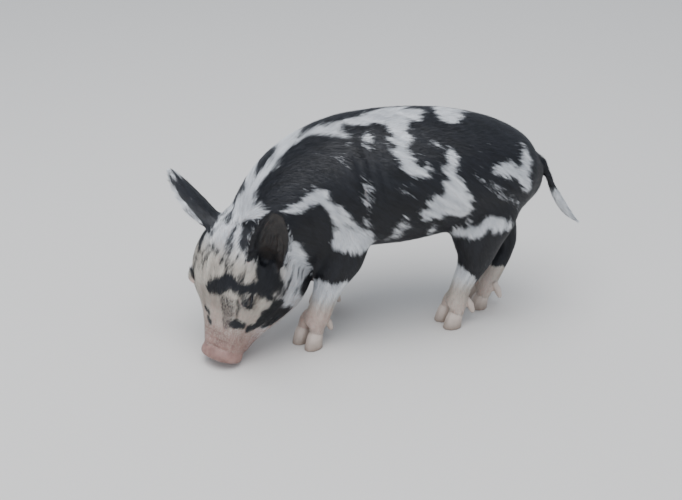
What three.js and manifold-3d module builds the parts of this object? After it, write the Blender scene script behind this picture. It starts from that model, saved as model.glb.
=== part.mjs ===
// A young spotted pig, standing with its head down to root, as a life-size still model.
// Millimetres. The pig faces -X, +Z is up, and its left side is -Y. The origin is on the floor,
// under the middle of its box.
// The flesh is built from lofts: smooth closed forms whose sections follow a curve. Where two of
// them meet, one is cut back from the other, so that each sub-part is a solid of its own.
import * as THREE from "three";
import { mergeVertices } from "three/addons/utils/BufferGeometryUtils.js";
import Module from "manifold-3d";

const wasm = await Module();
wasm.setup();

// ---- Driving sizes -------------------------------------------------------------------------
const gap = 0.35; // clear space between neighbours
const left = -1;
const right = 1;

// The head's own frame: its origin is on the poll, -X runs to the snout and +Z out of the brow.
const poll = new THREE.Vector3(-164, -46, 162);
const headPitch = 70; // degrees that the muzzle points down
const headYaw = 39; // degrees that it turns to the pig's left
const headLength = 155; // from the poll to the face of the snout

const eyeRadius = 8.5;
const eyePlace = new THREE.Vector3(-77, 36, -11);
const earLength = 75;

const hoofHeight = 17;
const toeSpread = 9.5; // from the middle of the foot to the middle of each toe

// ---- Solids --------------------------------------------------------------------------------
function solidOf(geometry) {
  const bare = geometry.clone();
  bare.deleteAttribute("normal");
  bare.deleteAttribute("uv");
  const merged = mergeVertices(bare, 1e-4);
  return new wasm.Manifold(
    new wasm.Mesh({
      numProp: 3,
      vertProperties: new Float32Array(merged.attributes.position.array),
      triVerts: new Uint32Array(merged.index.array),
    }),
  );
}

function geometryOf(solid) {
  const mesh = solid.getMesh();
  const positions = new Float32Array(mesh.numVert * 3);
  for (let i = 0; i < mesh.numVert; i++) {
    const start = i * mesh.numProp;
    positions.set(mesh.vertProperties.subarray(start, start + 3), i * 3);
  }
  const geometry = new THREE.BufferGeometry()
    .setAttribute("position", new THREE.BufferAttribute(positions, 3))
    .setIndex(new THREE.BufferAttribute(new Uint32Array(mesh.triVerts), 1));
  geometry.computeVertexNormals();
  return geometry;
}

const join = (solids) => solids.reduce((whole, solid) => whole.add(solid));
const cut = (solid, tools) => tools.reduce((rest, tool) => rest.subtract(tool), solid);
const largestPiece = (solid) =>
  solid.decompose().reduce((a, b) => (b.volume() > a.volume() ? b : a));

// ---- Lofts ---------------------------------------------------------------------------------
const curveOf = (stations, pick, kind) =>
  new THREE.CatmullRomCurve3(
    stations.map((station) => new THREE.Vector3(...pick(station))),
    false,
    kind,
  );

const pointNear = (origin, ...steps) =>
  steps.reduce((p, [axis, length]) => p.addScaledVector(axis, length), origin.clone());

// The triangles that join each ring of points to the next, where point `first` starts the rings.
function wallTriangles(ringCount, around, first) {
  const triangles = [];
  for (let ring = 0; ring < ringCount - 1; ring++) {
    const a = first + ring * around;
    const b = a + around;
    for (let i = 0; i < around; i++) {
      const j = (i + 1) % around;
      triangles.push(a + i, b + j, a + j, a + i, b + i, b + j);
    }
  }
  return triangles;
}

// A closed geometry over rings of points, with a single point at each end.
function skinOver(rings, firstPoint, lastPoint) {
  const around = rings[0].length;
  const points = [firstPoint, ...rings.flat(), lastPoint];
  const last = points.length - 1;
  const triangles = wallTriangles(rings.length, around, 1);
  for (let i = 0; i < around; i++) {
    const j = (i + 1) % around;
    triangles.push(0, 1 + i, 1 + j, last, last - around + j, last - around + i);
  }
  return new THREE.BufferGeometry().setFromPoints(points).setIndex(triangles);
}

// A closed geometry over the rings of a blade. Each ring runs along one face and back along the
// other, and a strip between the two faces closes each end.
function bladeOver(rings) {
  const around = rings[0].length;
  const points = rings.flat();
  const triangles = wallTriangles(rings.length, around, 0);
  const lastRing = points.length - around;
  for (let i = 0; i < around / 2 - 1; i++) {
    const corners = [i, i + 1, around - 2 - i, around - 1 - i];
    const [a, b, c, d] = corners;
    triangles.push(a, b, c, a, c, d);
    const [e, f, g, h] = corners.map((corner) => corner + lastRing);
    triangles.push(e, g, f, e, h, g);
  }
  return new THREE.BufferGeometry().setFromPoints(points).setIndex(triangles);
}

// A loft runs through stations { at, wide, fore, aft, round }: the centre, the half width to each
// side, the half depths to the back (or a leg's front) and to the belly (or a leg's rear), and how
// full the section is, where 2 is an ellipse. Trunk and head run towards the snout, legs downwards.
// A dome closes each end, and its height is a share of the end section's size.
function loft(stations, { side = [0, 1, 0], around, along, domes }, grow = 0) {
  const domeSteps = around > 12 ? [30, 60] : [45];
  const centres = curveOf(stations, (s) => s.at, "centripetal");
  const sizes = curveOf(stations, (s) => [s.wide, s.fore, s.aft], "catmullrom");
  const fullness = curveOf(stations, (s) => [s.round ?? 2, 0, 0], "catmullrom");
  const sideways = new THREE.Vector3(...side);

  const ring = (t, share, push) => {
    const ahead = centres.getTangent(t);
    const across = pointNear(sideways, [ahead, -ahead.dot(sideways)]).normalize();
    const up = new THREE.Vector3().crossVectors(across, ahead);
    const centre = pointNear(centres.getPoint(t), [ahead, push]);
    const size = sizes.getPoint(t).addScalar(grow).multiplyScalar(share);
    const power = 2 / fullness.getPoint(t).x;
    return Array.from({ length: around }, (_, i) => {
      const angle = (2 * Math.PI * i) / around;
      const c = Math.cos(angle);
      const s = Math.sin(angle);
      const x = Math.sign(c) * Math.abs(c) ** power * size.x;
      const y = Math.sign(s) * Math.abs(s) ** power * (s > 0 ? size.y : size.z);
      return pointNear(centre, [across, x], [up, y]);
    });
  };

  const domeHeight = (end) => {
    const size = sizes.getPoint(end);
    return domes[end] * Math.min(size.x, size.y) + grow;
  };
  const outwards = (end) => (end ? 1 : -1);
  const domeRings = (end) =>
    (domes[end] ? domeSteps : []).map((degrees) => {
      const angle = THREE.MathUtils.degToRad(degrees);
      return ring(end, Math.sin(angle), domeHeight(end) * Math.cos(angle) * outwards(end));
    });
  const endPoint = (end) =>
    pointNear(centres.getPoint(end), [centres.getTangent(end), domeHeight(end) * outwards(end)]);

  const rings = [
    ...domeRings(0),
    ...Array.from({ length: along + 1 }, (_, i) => ring(i / along, 1, 0)),
    ...domeRings(1).toReversed(),
  ];
  return skinOver(rings, endPoint(0), endPoint(1));
}

// ---- Trunk, neck and tail ------------------------------------------------------------------
// Trunk and neck are one form, from the rump to the back of the head, parted in front of the
// shoulders.
const torsoStations = [
  { at: [164, 5, 160], wide: 32, fore: 30, aft: 30 },
  { at: [148, 4, 164], wide: 51, fore: 44, aft: 44 },
  { at: [112, 1, 172], wide: 65, fore: 58, aft: 55 },
  { at: [66, 0, 174], wide: 71, fore: 69, aft: 65 },
  { at: [16, 0, 172], wide: 74, fore: 74, aft: 72 },
  { at: [-34, 0, 170], wide: 72, fore: 72, aft: 72 },
  { at: [-76, -4, 162], wide: 66, fore: 64, aft: 75 },
  { at: [-108, -15, 150], wide: 57, fore: 52, aft: 80 },
  { at: [-134, -28, 132], wide: 50, fore: 37, aft: 70 },
];
const torso = (grow) =>
  solidOf(loft(torsoStations, { around: 22, along: 16, domes: [0.4, 0.5] }, grow));
const neckPlane = {
  point: new THREE.Vector3(-80, -5, 160),
  normal: new THREE.Vector3(0.9, 0.22, 0.38).normalize(),
};

const tailStations = [
  { at: [162, 3, 178], wide: 8, fore: 8, aft: 8 },
  { at: [174, 1, 179], wide: 6, fore: 6, aft: 6 },
  { at: [183, 0, 164], wide: 5, fore: 5, aft: 5 },
  { at: [190, -1, 147], wide: 5.2, fore: 5.2, aft: 5.2 },
  { at: [198, -1, 133], wide: 6.5, fore: 6.5, aft: 6.5 },
  { at: [208, -1, 118], wide: 6.2, fore: 6.2, aft: 6.2 },
  { at: [218, -1, 108], wide: 4.5, fore: 4.5, aft: 4.5 },
  { at: [224, -1, 103], wide: 2.5, fore: 2.5, aft: 2.5 },
];
const tail = (grow) => solidOf(loft(tailStations, { around: 8, along: 12, domes: [0.5, 1.5] }, grow));

// ---- Head ----------------------------------------------------------------------------------
const headTurn = new THREE.Matrix4()
  .makeRotationFromEuler(
    new THREE.Euler(
      0,
      THREE.MathUtils.degToRad(-headPitch),
      THREE.MathUtils.degToRad(headYaw),
      "ZYX",
    ),
  )
  .setPosition(poll);
const inHead = (geometry) => solidOf(geometry.applyMatrix4(headTurn));

const headStations = [
  { at: [0, 0, -48], wide: 38, fore: 31, aft: 42, round: 2.1 },
  { at: [-26, 0, -47], wide: 54, fore: 46, aft: 55, round: 2.4 },
  { at: [-54, 0, -46], wide: 59, fore: 53, aft: 64, round: 2.5 },
  { at: [-80, 0, -44], wide: 55, fore: 49, aft: 60, round: 2.6 },
  { at: [-102, 0, -42], wide: 42, fore: 39, aft: 46, round: 2.5 },
  { at: [-123, 0, -38], wide: 30, fore: 29, aft: 29, round: 2.3 },
  { at: [-145, 0, -34], wide: 23, fore: 20, aft: 17, round: 2.2 },
];
const wholeHead = (grow) =>
  inHead(loft(headStations, { around: 22, along: 13, domes: [0.5, 0] }, grow));

// The lower jaw is what lies below the line of the mouth, back to the angle of the jaw.
function jawRegion(grow) {
  const profile = new THREE.Shape();
  profile.moveTo(-headLength - 20, -47 + grow);
  profile.lineTo(-112, -52 + grow);
  profile.quadraticCurveTo(-92 + grow, -58 + grow, -84 + grow, -74);
  profile.lineTo(-76 + grow, -130);
  profile.lineTo(-headLength - 20, -130);
  const width = 140;
  const settings = { depth: width, bevelEnabled: false, curveSegments: 5 };
  const block = new THREE.ExtrudeGeometry(profile, settings);
  return inHead(block.rotateX(Math.PI / 2).translate(0, width / 2, 0));
}

const snoutStations = [
  { at: [-144, 0, -34], wide: 22, fore: 19, aft: 16, round: 2.2 },
  { at: [-147.5, 0, -34], wide: 24, fore: 21, aft: 17, round: 2.2 },
  { at: [-152, 0, -33], wide: 24.5, fore: 21, aft: 17.5, round: 2.2 },
  { at: [-headLength, 0, -33], wide: 23, fore: 19.5, aft: 16, round: 2.2 },
];
const nostril = { radius: 3.4, depth: 6, aside: 9, height: -31 };
function snoutDisc(grow) {
  const disc = inHead(loft(snoutStations, { around: 20, along: 3, domes: [0, 0] }, grow));
  const hole = (side) =>
    inHead(
      new THREE.CylinderGeometry(nostril.radius, nostril.radius * 0.7, nostril.depth * 2, 8)
        .rotateZ(Math.PI / 2)
        .translate(-headLength, side * nostril.aside, nostril.height),
    );
  return cut(disc, [hole(left), hole(right)]).trimByPlane([0, 0, 1], 0);
}

const eye = (side, grow) =>
  inHead(
    new THREE.SphereGeometry(eyeRadius + grow, 12, 7).translate(
      eyePlace.x,
      side * eyePlace.y,
      eyePlace.z,
    ),
  );

// An ear is a blade, cupped about its midrib. Places along it are shares of its length, each with
// the half width of the blade, the half angle of the cup in degrees, and the thickness.
const earSections = [
  { share: -0.18, wide: 17, cup: 78, thick: 5.5 },
  { share: 0.05, wide: 25, cup: 70, thick: 5 },
  { share: 0.32, wide: 28, cup: 52, thick: 4.4 },
  { share: 0.6, wide: 24.5, cup: 42, thick: 3.8 },
  { share: 0.84, wide: 16.5, cup: 32, thick: 3.4 },
  { share: 1, wide: 8, cup: 20, thick: 3 },
];
const ears = {
  ear_left: { root: [-28, -44, -19], reach: [0.7, -0.46, 0.54], faces: [-0.7, -0.38, 0.6] },
  ear_right: { root: [-12, 33, -19], reach: [0.44, 0.82, 0.24], faces: [-0.88, 0.48, 0.1] },
};
function ear({ root, reach, faces }, grow) {
  const along = 7;
  const across = 6;
  const direction = new THREE.Vector3(...reach).normalize();
  const start = new THREE.Vector3(...root);
  const midrib = curveOf(
    earSections,
    (s) => pointNear(start, [direction, s.share * earLength]).toArray(),
    "centripetal",
  );
  const sizes = curveOf(earSections, (s) => [s.wide, s.cup, s.thick], "catmullrom");
  const opening = new THREE.Vector3(...faces);
  const hollow = pointNear(opening, [direction, -direction.dot(opening)]).normalize();
  const sideways = new THREE.Vector3().crossVectors(direction, hollow);
  const edges = Array.from({ length: across + 1 }, (_, i) => -1 + (2 * i) / across);

  const ring = (t) => {
    const size = sizes.getPoint(t);
    const bend = THREE.MathUtils.degToRad(size.y);
    const radius = size.x / bend;
    const centre = pointNear(midrib.getPoint(t), [direction, grow * (2 * t - 1)]);
    const place = (u, inwards) => {
      const angle = u * bend * (1 + grow / size.x);
      const r = radius - inwards * ((size.z / 2) * (1 - 0.5 * u ** 4) + grow);
      return pointNear(centre, [sideways, r * Math.sin(angle)], [hollow, radius - r * Math.cos(angle)]);
    };
    return [...edges.map((u) => place(u, -1)), ...edges.toReversed().map((u) => place(u, 1))];
  };
  const rings = Array.from({ length: along + 1 }, (_, i) => ring(i / along));
  return inHead(bladeOver(rings));
}

// ---- Legs and feet -------------------------------------------------------------------------
// foot: the middle of the sole, and how far it is turned out from straight ahead, in degrees
const legs = {
  foreleg_left: {
    foot: { at: [-86, -42], heading: 35 },
    stations: [
      { at: [-60, -38, 172], wide: 22, fore: 36, aft: 32 },
      { at: [-48, -47, 136], wide: 22, fore: 34, aft: 31 },
      { at: [-47, -52, 112], wide: 20, fore: 30, aft: 25 },
      { at: [-57, -52, 91], wide: 18, fore: 23, aft: 20 },
      { at: [-65, -50, 72], wide: 15.5, fore: 16.5, aft: 16 },
      { at: [-71, -47, 52], wide: 14.5, fore: 15, aft: 15 },
      { at: [-76, -44, 36], wide: 16, fore: 15, aft: 15 },
      { at: [-80, -43, 26], wide: 15, fore: 13, aft: 13 },
    ],
  },
  foreleg_right: {
    foot: { at: [-62, 34], heading: -10 },
    stations: [
      { at: [-54, 38, 172], wide: 22, fore: 36, aft: 32 },
      { at: [-38, 47, 136], wide: 22, fore: 34, aft: 31 },
      { at: [-32, 50, 112], wide: 20, fore: 26, aft: 25 },
      { at: [-37, 47, 91], wide: 18, fore: 20, aft: 20 },
      { at: [-43, 43, 72], wide: 15.5, fore: 16.5, aft: 16 },
      { at: [-47, 39, 52], wide: 14.5, fore: 15, aft: 15 },
      { at: [-51, 36, 36], wide: 16, fore: 15, aft: 15 },
      { at: [-53, 35, 26], wide: 15, fore: 13, aft: 13 },
    ],
  },
  hindleg_left: {
    foot: { at: [75, -25], heading: 16 },
    stations: [
      { at: [112, -28, 172], wide: 28, fore: 42, aft: 36 },
      { at: [104, -38, 144], wide: 28, fore: 46, aft: 40 },
      { at: [97, -41, 116], wide: 24, fore: 32, aft: 33 },
      { at: [96, -40, 88], wide: 18, fore: 22, aft: 21 },
      { at: [90, -36, 68], wide: 15, fore: 16, aft: 16 },
      { at: [84, -32, 51], wide: 13, fore: 13, aft: 14 },
      { at: [81, -29, 36], wide: 13.5, fore: 12, aft: 14 },
      { at: [79, -27, 26], wide: 14, fore: 12, aft: 12 },
    ],
  },
  hindleg_right: {
    foot: { at: [119, 11], heading: -8 },
    stations: [
      { at: [116, 28, 172], wide: 28, fore: 42, aft: 36 },
      { at: [124, 36, 144], wide: 28, fore: 42, aft: 34 },
      { at: [134, 34, 116], wide: 22, fore: 30, aft: 26 },
      { at: [150, 28, 90], wide: 16, fore: 20, aft: 16 },
      { at: [152, 23, 70], wide: 14, fore: 14, aft: 13 },
      { at: [142, 18, 51], wide: 13.5, fore: 14, aft: 13 },
      { at: [132, 14, 36], wide: 14, fore: 13, aft: 13 },
      { at: [127, 12, 26], wide: 14, fore: 12, aft: 12 },
    ],
  },
};

function footFrame({ at, heading }) {
  const angle = THREE.MathUtils.degToRad(heading);
  return {
    origin: new THREE.Vector3(...at, 0),
    ahead: new THREE.Vector3(-Math.cos(angle), -Math.sin(angle), 0),
    sideways: new THREE.Vector3(-Math.sin(angle), Math.cos(angle), 0),
    up: new THREE.Vector3(0, 0, 1),
  };
}

// A form beside the middle of a foot. Each section gives how far ahead, to the side and up its
// centre is, and its half sizes across, to the front and to the rear.
function footForm(foot, sections, { around, along, domes }, grow) {
  const { origin, ahead, sideways, up } = footFrame(foot);
  const stations = sections.map(([forward, aside, height, wide, fore, aft]) => ({
    at: pointNear(origin, [ahead, forward], [sideways, aside], [up, height]).toArray(),
    wide,
    fore,
    aft,
  }));
  return solidOf(loft(stations, { side: sideways.toArray(), around, along, domes }, grow));
}

function hoof(foot, side, grow) {
  const aside = side * toeSpread;
  const sections = [
    [-3, aside * 0.96, hoofHeight, 7.4, 8.5, 8],
    [0, aside, 8, 8.4, 11, 9],
    [1, aside, -4, 8.8, 13.5, 10],
  ];
  const whole = footForm(foot, sections, { around: 10, along: 3, domes: [0, 0] }, grow);
  return whole.trimByPlane([0, 0, 1], 0);
}

function toe(foot, side) {
  const sections = [
    [-7, side * 5, 36, 7, 8, 7],
    [-6, side * 8, 26, 9, 10.5, 9.5],
    [-3, side * toeSpread * 0.98, hoofHeight - 2, 8.6, 9.6, 9],
  ];
  return footForm(foot, sections, { around: 8, along: 2, domes: [0.3, 0.3] }, 0);
}

function dewclaw(foot, side, grow) {
  const sections = [
    [-15, side * 9.5, 31, 4, 4, 4],
    [-19, side * 11, 24, 4.6, 4.4, 4.4],
    [-22, side * 12, 16, 3, 3, 3],
  ];
  return footForm(foot, sections, { around: 8, along: 2, domes: [0.6, 0.9] }, grow);
}

const legFlesh = (leg, grow) =>
  solidOf(loft(leg.stations, { around: 12, along: 9, domes: [0.7, 0.4] }, grow));

// ---- Finishes ------------------------------------------------------------------------------
const finish = (color, roughness) =>
  new THREE.MeshStandardMaterial({ color, roughness, metalness: 0 });
const finishes = {
  blackCoat: () => finish("#2c2d31", 0.75),
  greyCoat: () => finish("#4b4b4f", 0.75),
  speckledCoat: () => finish("#a9a39b", 0.8),
  whiteCoat: () => finish("#cfcac4", 0.8),
  pinkSkin: () => finish("#bb978d", 0.6),
  horn: () => finish("#a8978a", 0.5),
  eyeball: () => finish("#17120f", 0.1),
};

// ---- Assembly ------------------------------------------------------------------------------
const pig = new THREE.Group();
function add(name, solid, material) {
  const mesh = new THREE.Mesh(geometryOf(largestPiece(solid)), material);
  mesh.name = name;
  pig.add(mesh);
}

const sides = { left, right };
const headTools = [];
for (const [sideName, side] of Object.entries(sides)) {
  add(`eye_${sideName}`, eye(side, 0), finishes.eyeball());
  headTools.push(eye(side, gap));
}
for (const [name, shape] of Object.entries(ears)) {
  add(name, cut(ear(shape, 0), [torso(gap)]), finishes.blackCoat());
  headTools.push(ear(shape, gap));
}
add("snout_disc", snoutDisc(0), finishes.pinkSkin());
headTools.push(snoutDisc(gap));
const head = cut(wholeHead(0), headTools);
add("lower_jaw", head.intersect(jawRegion(0)), finishes.pinkSkin());
add("head", head.subtract(jawRegion(gap)), finishes.speckledCoat());

const legTools = [];
for (const [legName, leg] of Object.entries(legs)) {
  const footTools = [];
  for (const [sideName, side] of Object.entries(sides)) {
    add(`${legName}_hoof_${sideName}`, hoof(leg.foot, side, 0), finishes.horn());
    add(`${legName}_dewclaw_${sideName}`, dewclaw(leg.foot, side, 0), finishes.horn());
    footTools.push(hoof(leg.foot, side, gap), dewclaw(leg.foot, side, gap));
  }
  const flesh = join([legFlesh(leg, 0), toe(leg.foot, left), toe(leg.foot, right)]);
  add(legName, cut(flesh, [...footTools, ...legTools]), finishes.whiteCoat());
  legTools.push(legFlesh(leg, gap));
}

add("tail", tail(0), finishes.greyCoat());
const torsoRest = cut(torso(0), [...legTools, tail(gap), wholeHead(gap)]);
const behind = neckPlane.normal.toArray();
const inFront = neckPlane.normal.clone().negate().toArray();
const neckEnd = neckPlane.normal.dot(neckPlane.point);
add("trunk", torsoRest.trimByPlane(behind, neckEnd), finishes.blackCoat());
add("neck", torsoRest.trimByPlane(inFront, gap - neckEnd), finishes.blackCoat());

const box = new THREE.Box3().setFromObject(pig);
const centre = box.getCenter(new THREE.Vector3());
pig.position.set(-centre.x, -centre.y, -box.min.z);

export default pig;
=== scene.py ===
import math

import bmesh
import bpy
import numpy as np
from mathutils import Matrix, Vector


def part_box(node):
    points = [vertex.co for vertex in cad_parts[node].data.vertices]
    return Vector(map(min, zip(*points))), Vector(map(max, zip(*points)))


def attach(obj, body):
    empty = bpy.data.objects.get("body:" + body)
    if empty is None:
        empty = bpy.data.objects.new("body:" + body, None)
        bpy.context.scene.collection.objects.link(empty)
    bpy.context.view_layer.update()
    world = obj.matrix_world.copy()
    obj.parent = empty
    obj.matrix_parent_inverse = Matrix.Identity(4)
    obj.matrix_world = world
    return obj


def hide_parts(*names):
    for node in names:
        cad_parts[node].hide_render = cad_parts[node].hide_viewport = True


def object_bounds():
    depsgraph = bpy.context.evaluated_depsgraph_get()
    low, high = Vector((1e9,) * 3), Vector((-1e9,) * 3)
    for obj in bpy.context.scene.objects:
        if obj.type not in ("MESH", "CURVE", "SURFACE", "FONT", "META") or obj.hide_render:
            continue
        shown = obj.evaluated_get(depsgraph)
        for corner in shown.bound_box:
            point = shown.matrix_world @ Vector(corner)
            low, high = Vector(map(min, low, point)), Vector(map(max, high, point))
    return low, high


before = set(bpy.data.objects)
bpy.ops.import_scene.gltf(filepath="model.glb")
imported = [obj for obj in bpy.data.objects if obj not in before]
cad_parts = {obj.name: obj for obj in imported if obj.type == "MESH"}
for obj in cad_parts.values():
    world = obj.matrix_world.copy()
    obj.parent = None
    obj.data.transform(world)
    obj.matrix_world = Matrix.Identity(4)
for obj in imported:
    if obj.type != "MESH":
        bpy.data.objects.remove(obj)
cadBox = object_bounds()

import openvdb
from mathutils import Vector
from mathutils.bvhtree import BVHTree
from mathutils.kdtree import KDTree

mm = 0.001
draws = np.random.default_rng(20)

legNames = ("foreleg_left", "foreleg_right", "hindleg_left", "hindleg_right")
sideNames = ("left", "right")
earNames = ("ear_left", "ear_right")
bodyNames = ("trunk", "neck", "head", "lower_jaw", "snout_disc", *legNames)
fleshNames = (*bodyNames, *earNames, "tail")
hornNames = tuple(f"{leg}_{part}_{side}" for leg in legNames for part in ("hoof", "dewclaw")
                  for side in sideNames)


# Small tools
def unit(v):
    v = np.asarray(v, float)
    return v / np.maximum(np.linalg.norm(v, axis=-1, keepdims=True), 1e-12)


def ramp(x, low, high):
    t = np.clip((x - low) / (high - low), 0, 1)
    return t * t * (3 - 2 * t)


def middle(name):
    low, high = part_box(name)
    return np.array((low + high) / 2)


def hexColour(code):
    parts = [int(code[i:i + 2], 16) / 255 for i in (1, 3, 5)]
    linear = [c / 12.92 if c <= 0.04045 else ((c + 0.055) / 1.055) ** 2.4 for c in parts]
    return (*linear, 1.0)


def addNode(tree, kind, settings=(), inputs=(), links=()):
    node = tree.nodes.new(kind)
    for name, value in dict(settings).items():
        setattr(node, name, value)
    for socket, value in dict(inputs).items():
        node.inputs[socket].default_value = value
    for socket, source in dict(links).items():
        tree.links.new(source, node.inputs[socket])
    return node


def newObject(name, data):
    thing = bpy.data.objects.new(name, data)
    bpy.context.scene.collection.objects.link(thing)
    return thing


def newMaterial(name, roughness, ior=1.5):
    material = bpy.data.materials.new(name)
    material.use_nodes = True
    surface = material.node_tree.nodes["Principled BSDF"]
    surface.inputs["Roughness"].default_value = roughness
    surface.inputs["IOR"].default_value = ior
    return material, material.node_tree, surface


# Where the head points. The eyes and the snout give it a frame of its own: ahead runs to the
# snout, above out of the brow, aside to the pig's right. Its origin lies midway between the eyes, a
# little behind and below them.
eyesMiddle = (middle("eye_left") + middle("eye_right")) / 2
aside = unit(middle("eye_right") - middle("eye_left"))
eyesToSnout = middle("snout_disc") - eyesMiddle
eyesToSnout -= aside * (eyesToSnout @ aside)
snoutBelowEyes = math.radians(16.15)
upish = np.cross(aside, unit(eyesToSnout))
ahead = unit(eyesToSnout) * math.cos(snoutBelowEyes) + upish * math.sin(snoutBelowEyes)
above = np.cross(aside, ahead)
headAxes = np.stack([ahead, aside, above])
headOrigin = eyesMiddle - 3 * mm * (ahead + above)

# Where each ear starts, which way it reaches and which way its hollow faces: ahead, aside, above
earPlan = {
    "ear_left": {"root": (-46, -44, -5), "reach": (-0.7, -0.46, 0.54), "faces": (0.7, -0.38, 0.6)},
    "ear_right": {"root": (-62, 33, -5), "reach": (-0.44, 0.82, 0.24), "faces": (0.88, 0.48, 0.1)},
}


def inHead(points):
    return (points - headOrigin) @ headAxes.T


def fromHead(local):
    return headOrigin + np.asarray(local, float) @ headAxes


def earAxes(name):
    # along an ear, out of its hollow and across it
    along = unit(earPlan[name]["reach"] @ headAxes)
    hollow = earPlan[name]["faces"] @ headAxes
    hollow = unit(hollow - along * (hollow @ along))
    return along, hollow, np.cross(along, hollow)


# Distance fields
skinPlan = {
    "step": 1.5 * mm,  # spacing of the field's points
    "reach": 13,  # steps that it reaches each side of the surface
    "closing": 0.5 * mm,  # fills the clear space between neighbouring solids
    "softBlur": 4.5 * mm,  # on trunk and upper legs
    "fineBlur": 1.4 * mm,  # on head, feet and tail
    "earBlur": 1.0 * mm,
    "earFillet": 7 * mm,
    "tailFillet": 9 * mm,
    "first": 0.5 * mm,  # how deep the first surface lies, before the coat's full depth is taken
}
# The gap between the two hooves of a foot, and the hollow at the root of an ear
cleft = {"half": 1.0 * mm, "reach": 15 * mm, "edge": 1.5 * mm}
earBowl = {"along": 4 * mm, "out": 8 * mm, "size": (11 * mm, 6 * mm, 7 * mm), "edge": 4 * mm}


def nodeMesh(name):
    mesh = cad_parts[name].data
    points = np.zeros(len(mesh.vertices) * 3, np.float32)
    mesh.vertices.foreach_get("co", points)
    mesh.calc_loop_triangles()
    triangles = np.zeros(len(mesh.loop_triangles) * 3, np.int32)
    mesh.loop_triangles.foreach_get("vertices", triangles)
    return points.reshape(-1, 3), triangles.reshape(-1, 3)


def joined(names):
    points, triangles, first = [], [], 0
    for name in names:
        p, t = nodeMesh(name)
        points.append(p)
        triangles.append(t + first)
        first += len(p)
    return np.vstack(points), np.vstack(triangles)


fieldGrid = openvdb.createLinearTransform(voxelSize=skinPlan["step"])
fieldPad = skinPlan["reach"] + 3
fieldLow = np.floor(np.array(cadBox[0]) / skinPlan["step"]).astype(int) - fieldPad
fieldHigh = np.ceil(np.array(cadBox[1]) / skinPlan["step"]).astype(int) + fieldPad


def levelSet(points, triangles=None, quads=None, reach=skinPlan["reach"], grid=fieldGrid):
    faces = {k: v for k, v in (("triangles", triangles), ("quads", quads)) if v is not None}
    return openvdb.FloatGrid.createLevelSetFromPolygons(
        points, transform=grid, halfWidth=reach, **faces)


def valuesOf(grid):
    values = np.zeros(fieldHigh - fieldLow, np.float32)
    grid.copyToArray(values, ijk=tuple(int(i) for i in fieldLow))
    return values


def closedField(names):
    # a surface just outside the solids has no gap between neighbours, so it starts a new field
    grid = levelSet(*joined(names), reach=4)
    points, triangles, quads = grid.convertToPolygons(isovalue=skinPlan["closing"])
    return valuesOf(levelSet(points, triangles, quads)) + skinPlan["closing"]


def blurred(values, sigma, step=skinPlan["step"]):
    sigma /= step
    reach = int(3 * sigma + 0.5)
    weights = np.exp(-0.5 * (np.arange(-reach, reach + 1) / sigma) ** 2)
    weights /= weights.sum()
    for axis in range(3):
        edges = [(reach, reach) if a == axis else (0, 0) for a in range(3)]
        wide = np.pad(values, edges, mode="edge")
        length = values.shape[axis]
        total = np.zeros_like(values)
        for k, weight in enumerate(weights):
            window = [slice(None)] * 3
            window[axis] = slice(k, k + length)
            total += np.float32(weight) * wide[tuple(window)]
        values = total
    return values


def smoothUnion(a, b, fillet):
    h = np.clip(0.5 + 0.5 * (b - a) / fillet, 0, 1)
    return b + (a - b) * h - fillet * h * (1 - h)


def sample(values, points):
    at = np.asarray(points, float) / skinPlan["step"] - fieldLow
    at = np.clip(at, 0, np.array(values.shape) - 1.001)
    cell = at.astype(int)
    f = at - cell
    total = 0
    for corner in np.ndindex(2, 2, 2):
        i, j, k = (cell + corner).T
        weight = np.prod(np.where(corner, f, 1 - f), axis=1)
        total = total + values[i, j, k] * weight
    return total


def slopeOf(values, points):
    h = skinPlan["step"] * 0.7
    return unit(np.stack([sample(values, points + h * e) - sample(values, points - h * e)
                          for e in np.eye(3)], axis=1))


def carved(values, cutter, fillet):
    return -smoothUnion(-values, cutter, fillet)


def bodyField():
    raw = closedField((*bodyNames, *hornNames, "eye_left", "eye_right"))
    soft = blurred(raw, skinPlan["softBlur"])
    fine = blurred(raw, skinPlan["fineBlur"])
    axes = [(np.arange(fieldLow[a], fieldHigh[a]) * skinPlan["step"]) for a in range(3)]
    x, y, z = np.meshgrid(*axes, indexing="ij", sparse=True)

    def away(place, scale=(1, 1, 1), turned=np.eye(3)):
        offsets = [(x - place[0]) * t[0] + (y - place[1]) * t[1] + (z - place[2]) * t[2] for t in turned]
        return np.sqrt(sum((o / s) ** 2 for o, s in zip(offsets, scale))).astype(np.float32)

    softness = ramp(z, 50 * mm, 85 * mm) * ramp(away(headOrigin), 55 * mm, 95 * mm)
    body = fine + (soft - fine) * softness.astype(np.float32)
    for leg in legNames:
        left, right = (middle(f"{leg}_hoof_{side}") for side in sideNames)
        apart, between = unit(right - left), (left + right) / 2
        slab = np.abs((x - between[0]) * apart[0] + (y - between[1]) * apart[1]) - cleft["half"]
        slab = np.maximum(slab, away(between) - cleft["reach"])
        body = carved(body, slab, cleft["edge"])
    for name in earNames:
        along, hollow, across = earAxes(name)
        ear = blurred(valuesOf(levelSet(*nodeMesh(name))), skinPlan["earBlur"])
        body = smoothUnion(body, ear, skinPlan["earFillet"])
        bowl = fromHead(np.array(earPlan[name]["root"]) * mm)
        bowl += along * earBowl["along"] + hollow * earBowl["out"]
        shell = (away(bowl, earBowl["size"], (along, hollow, across)) - 1) * min(earBowl["size"])
        body = carved(body, shell, earBowl["edge"])
    tail = blurred(valuesOf(levelSet(*nodeMesh("tail"))), skinPlan["fineBlur"])
    return smoothUnion(body, tail, skinPlan["tailFillet"]).astype(np.float32)


body = bodyField()
print("distance field", body.shape)


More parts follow.
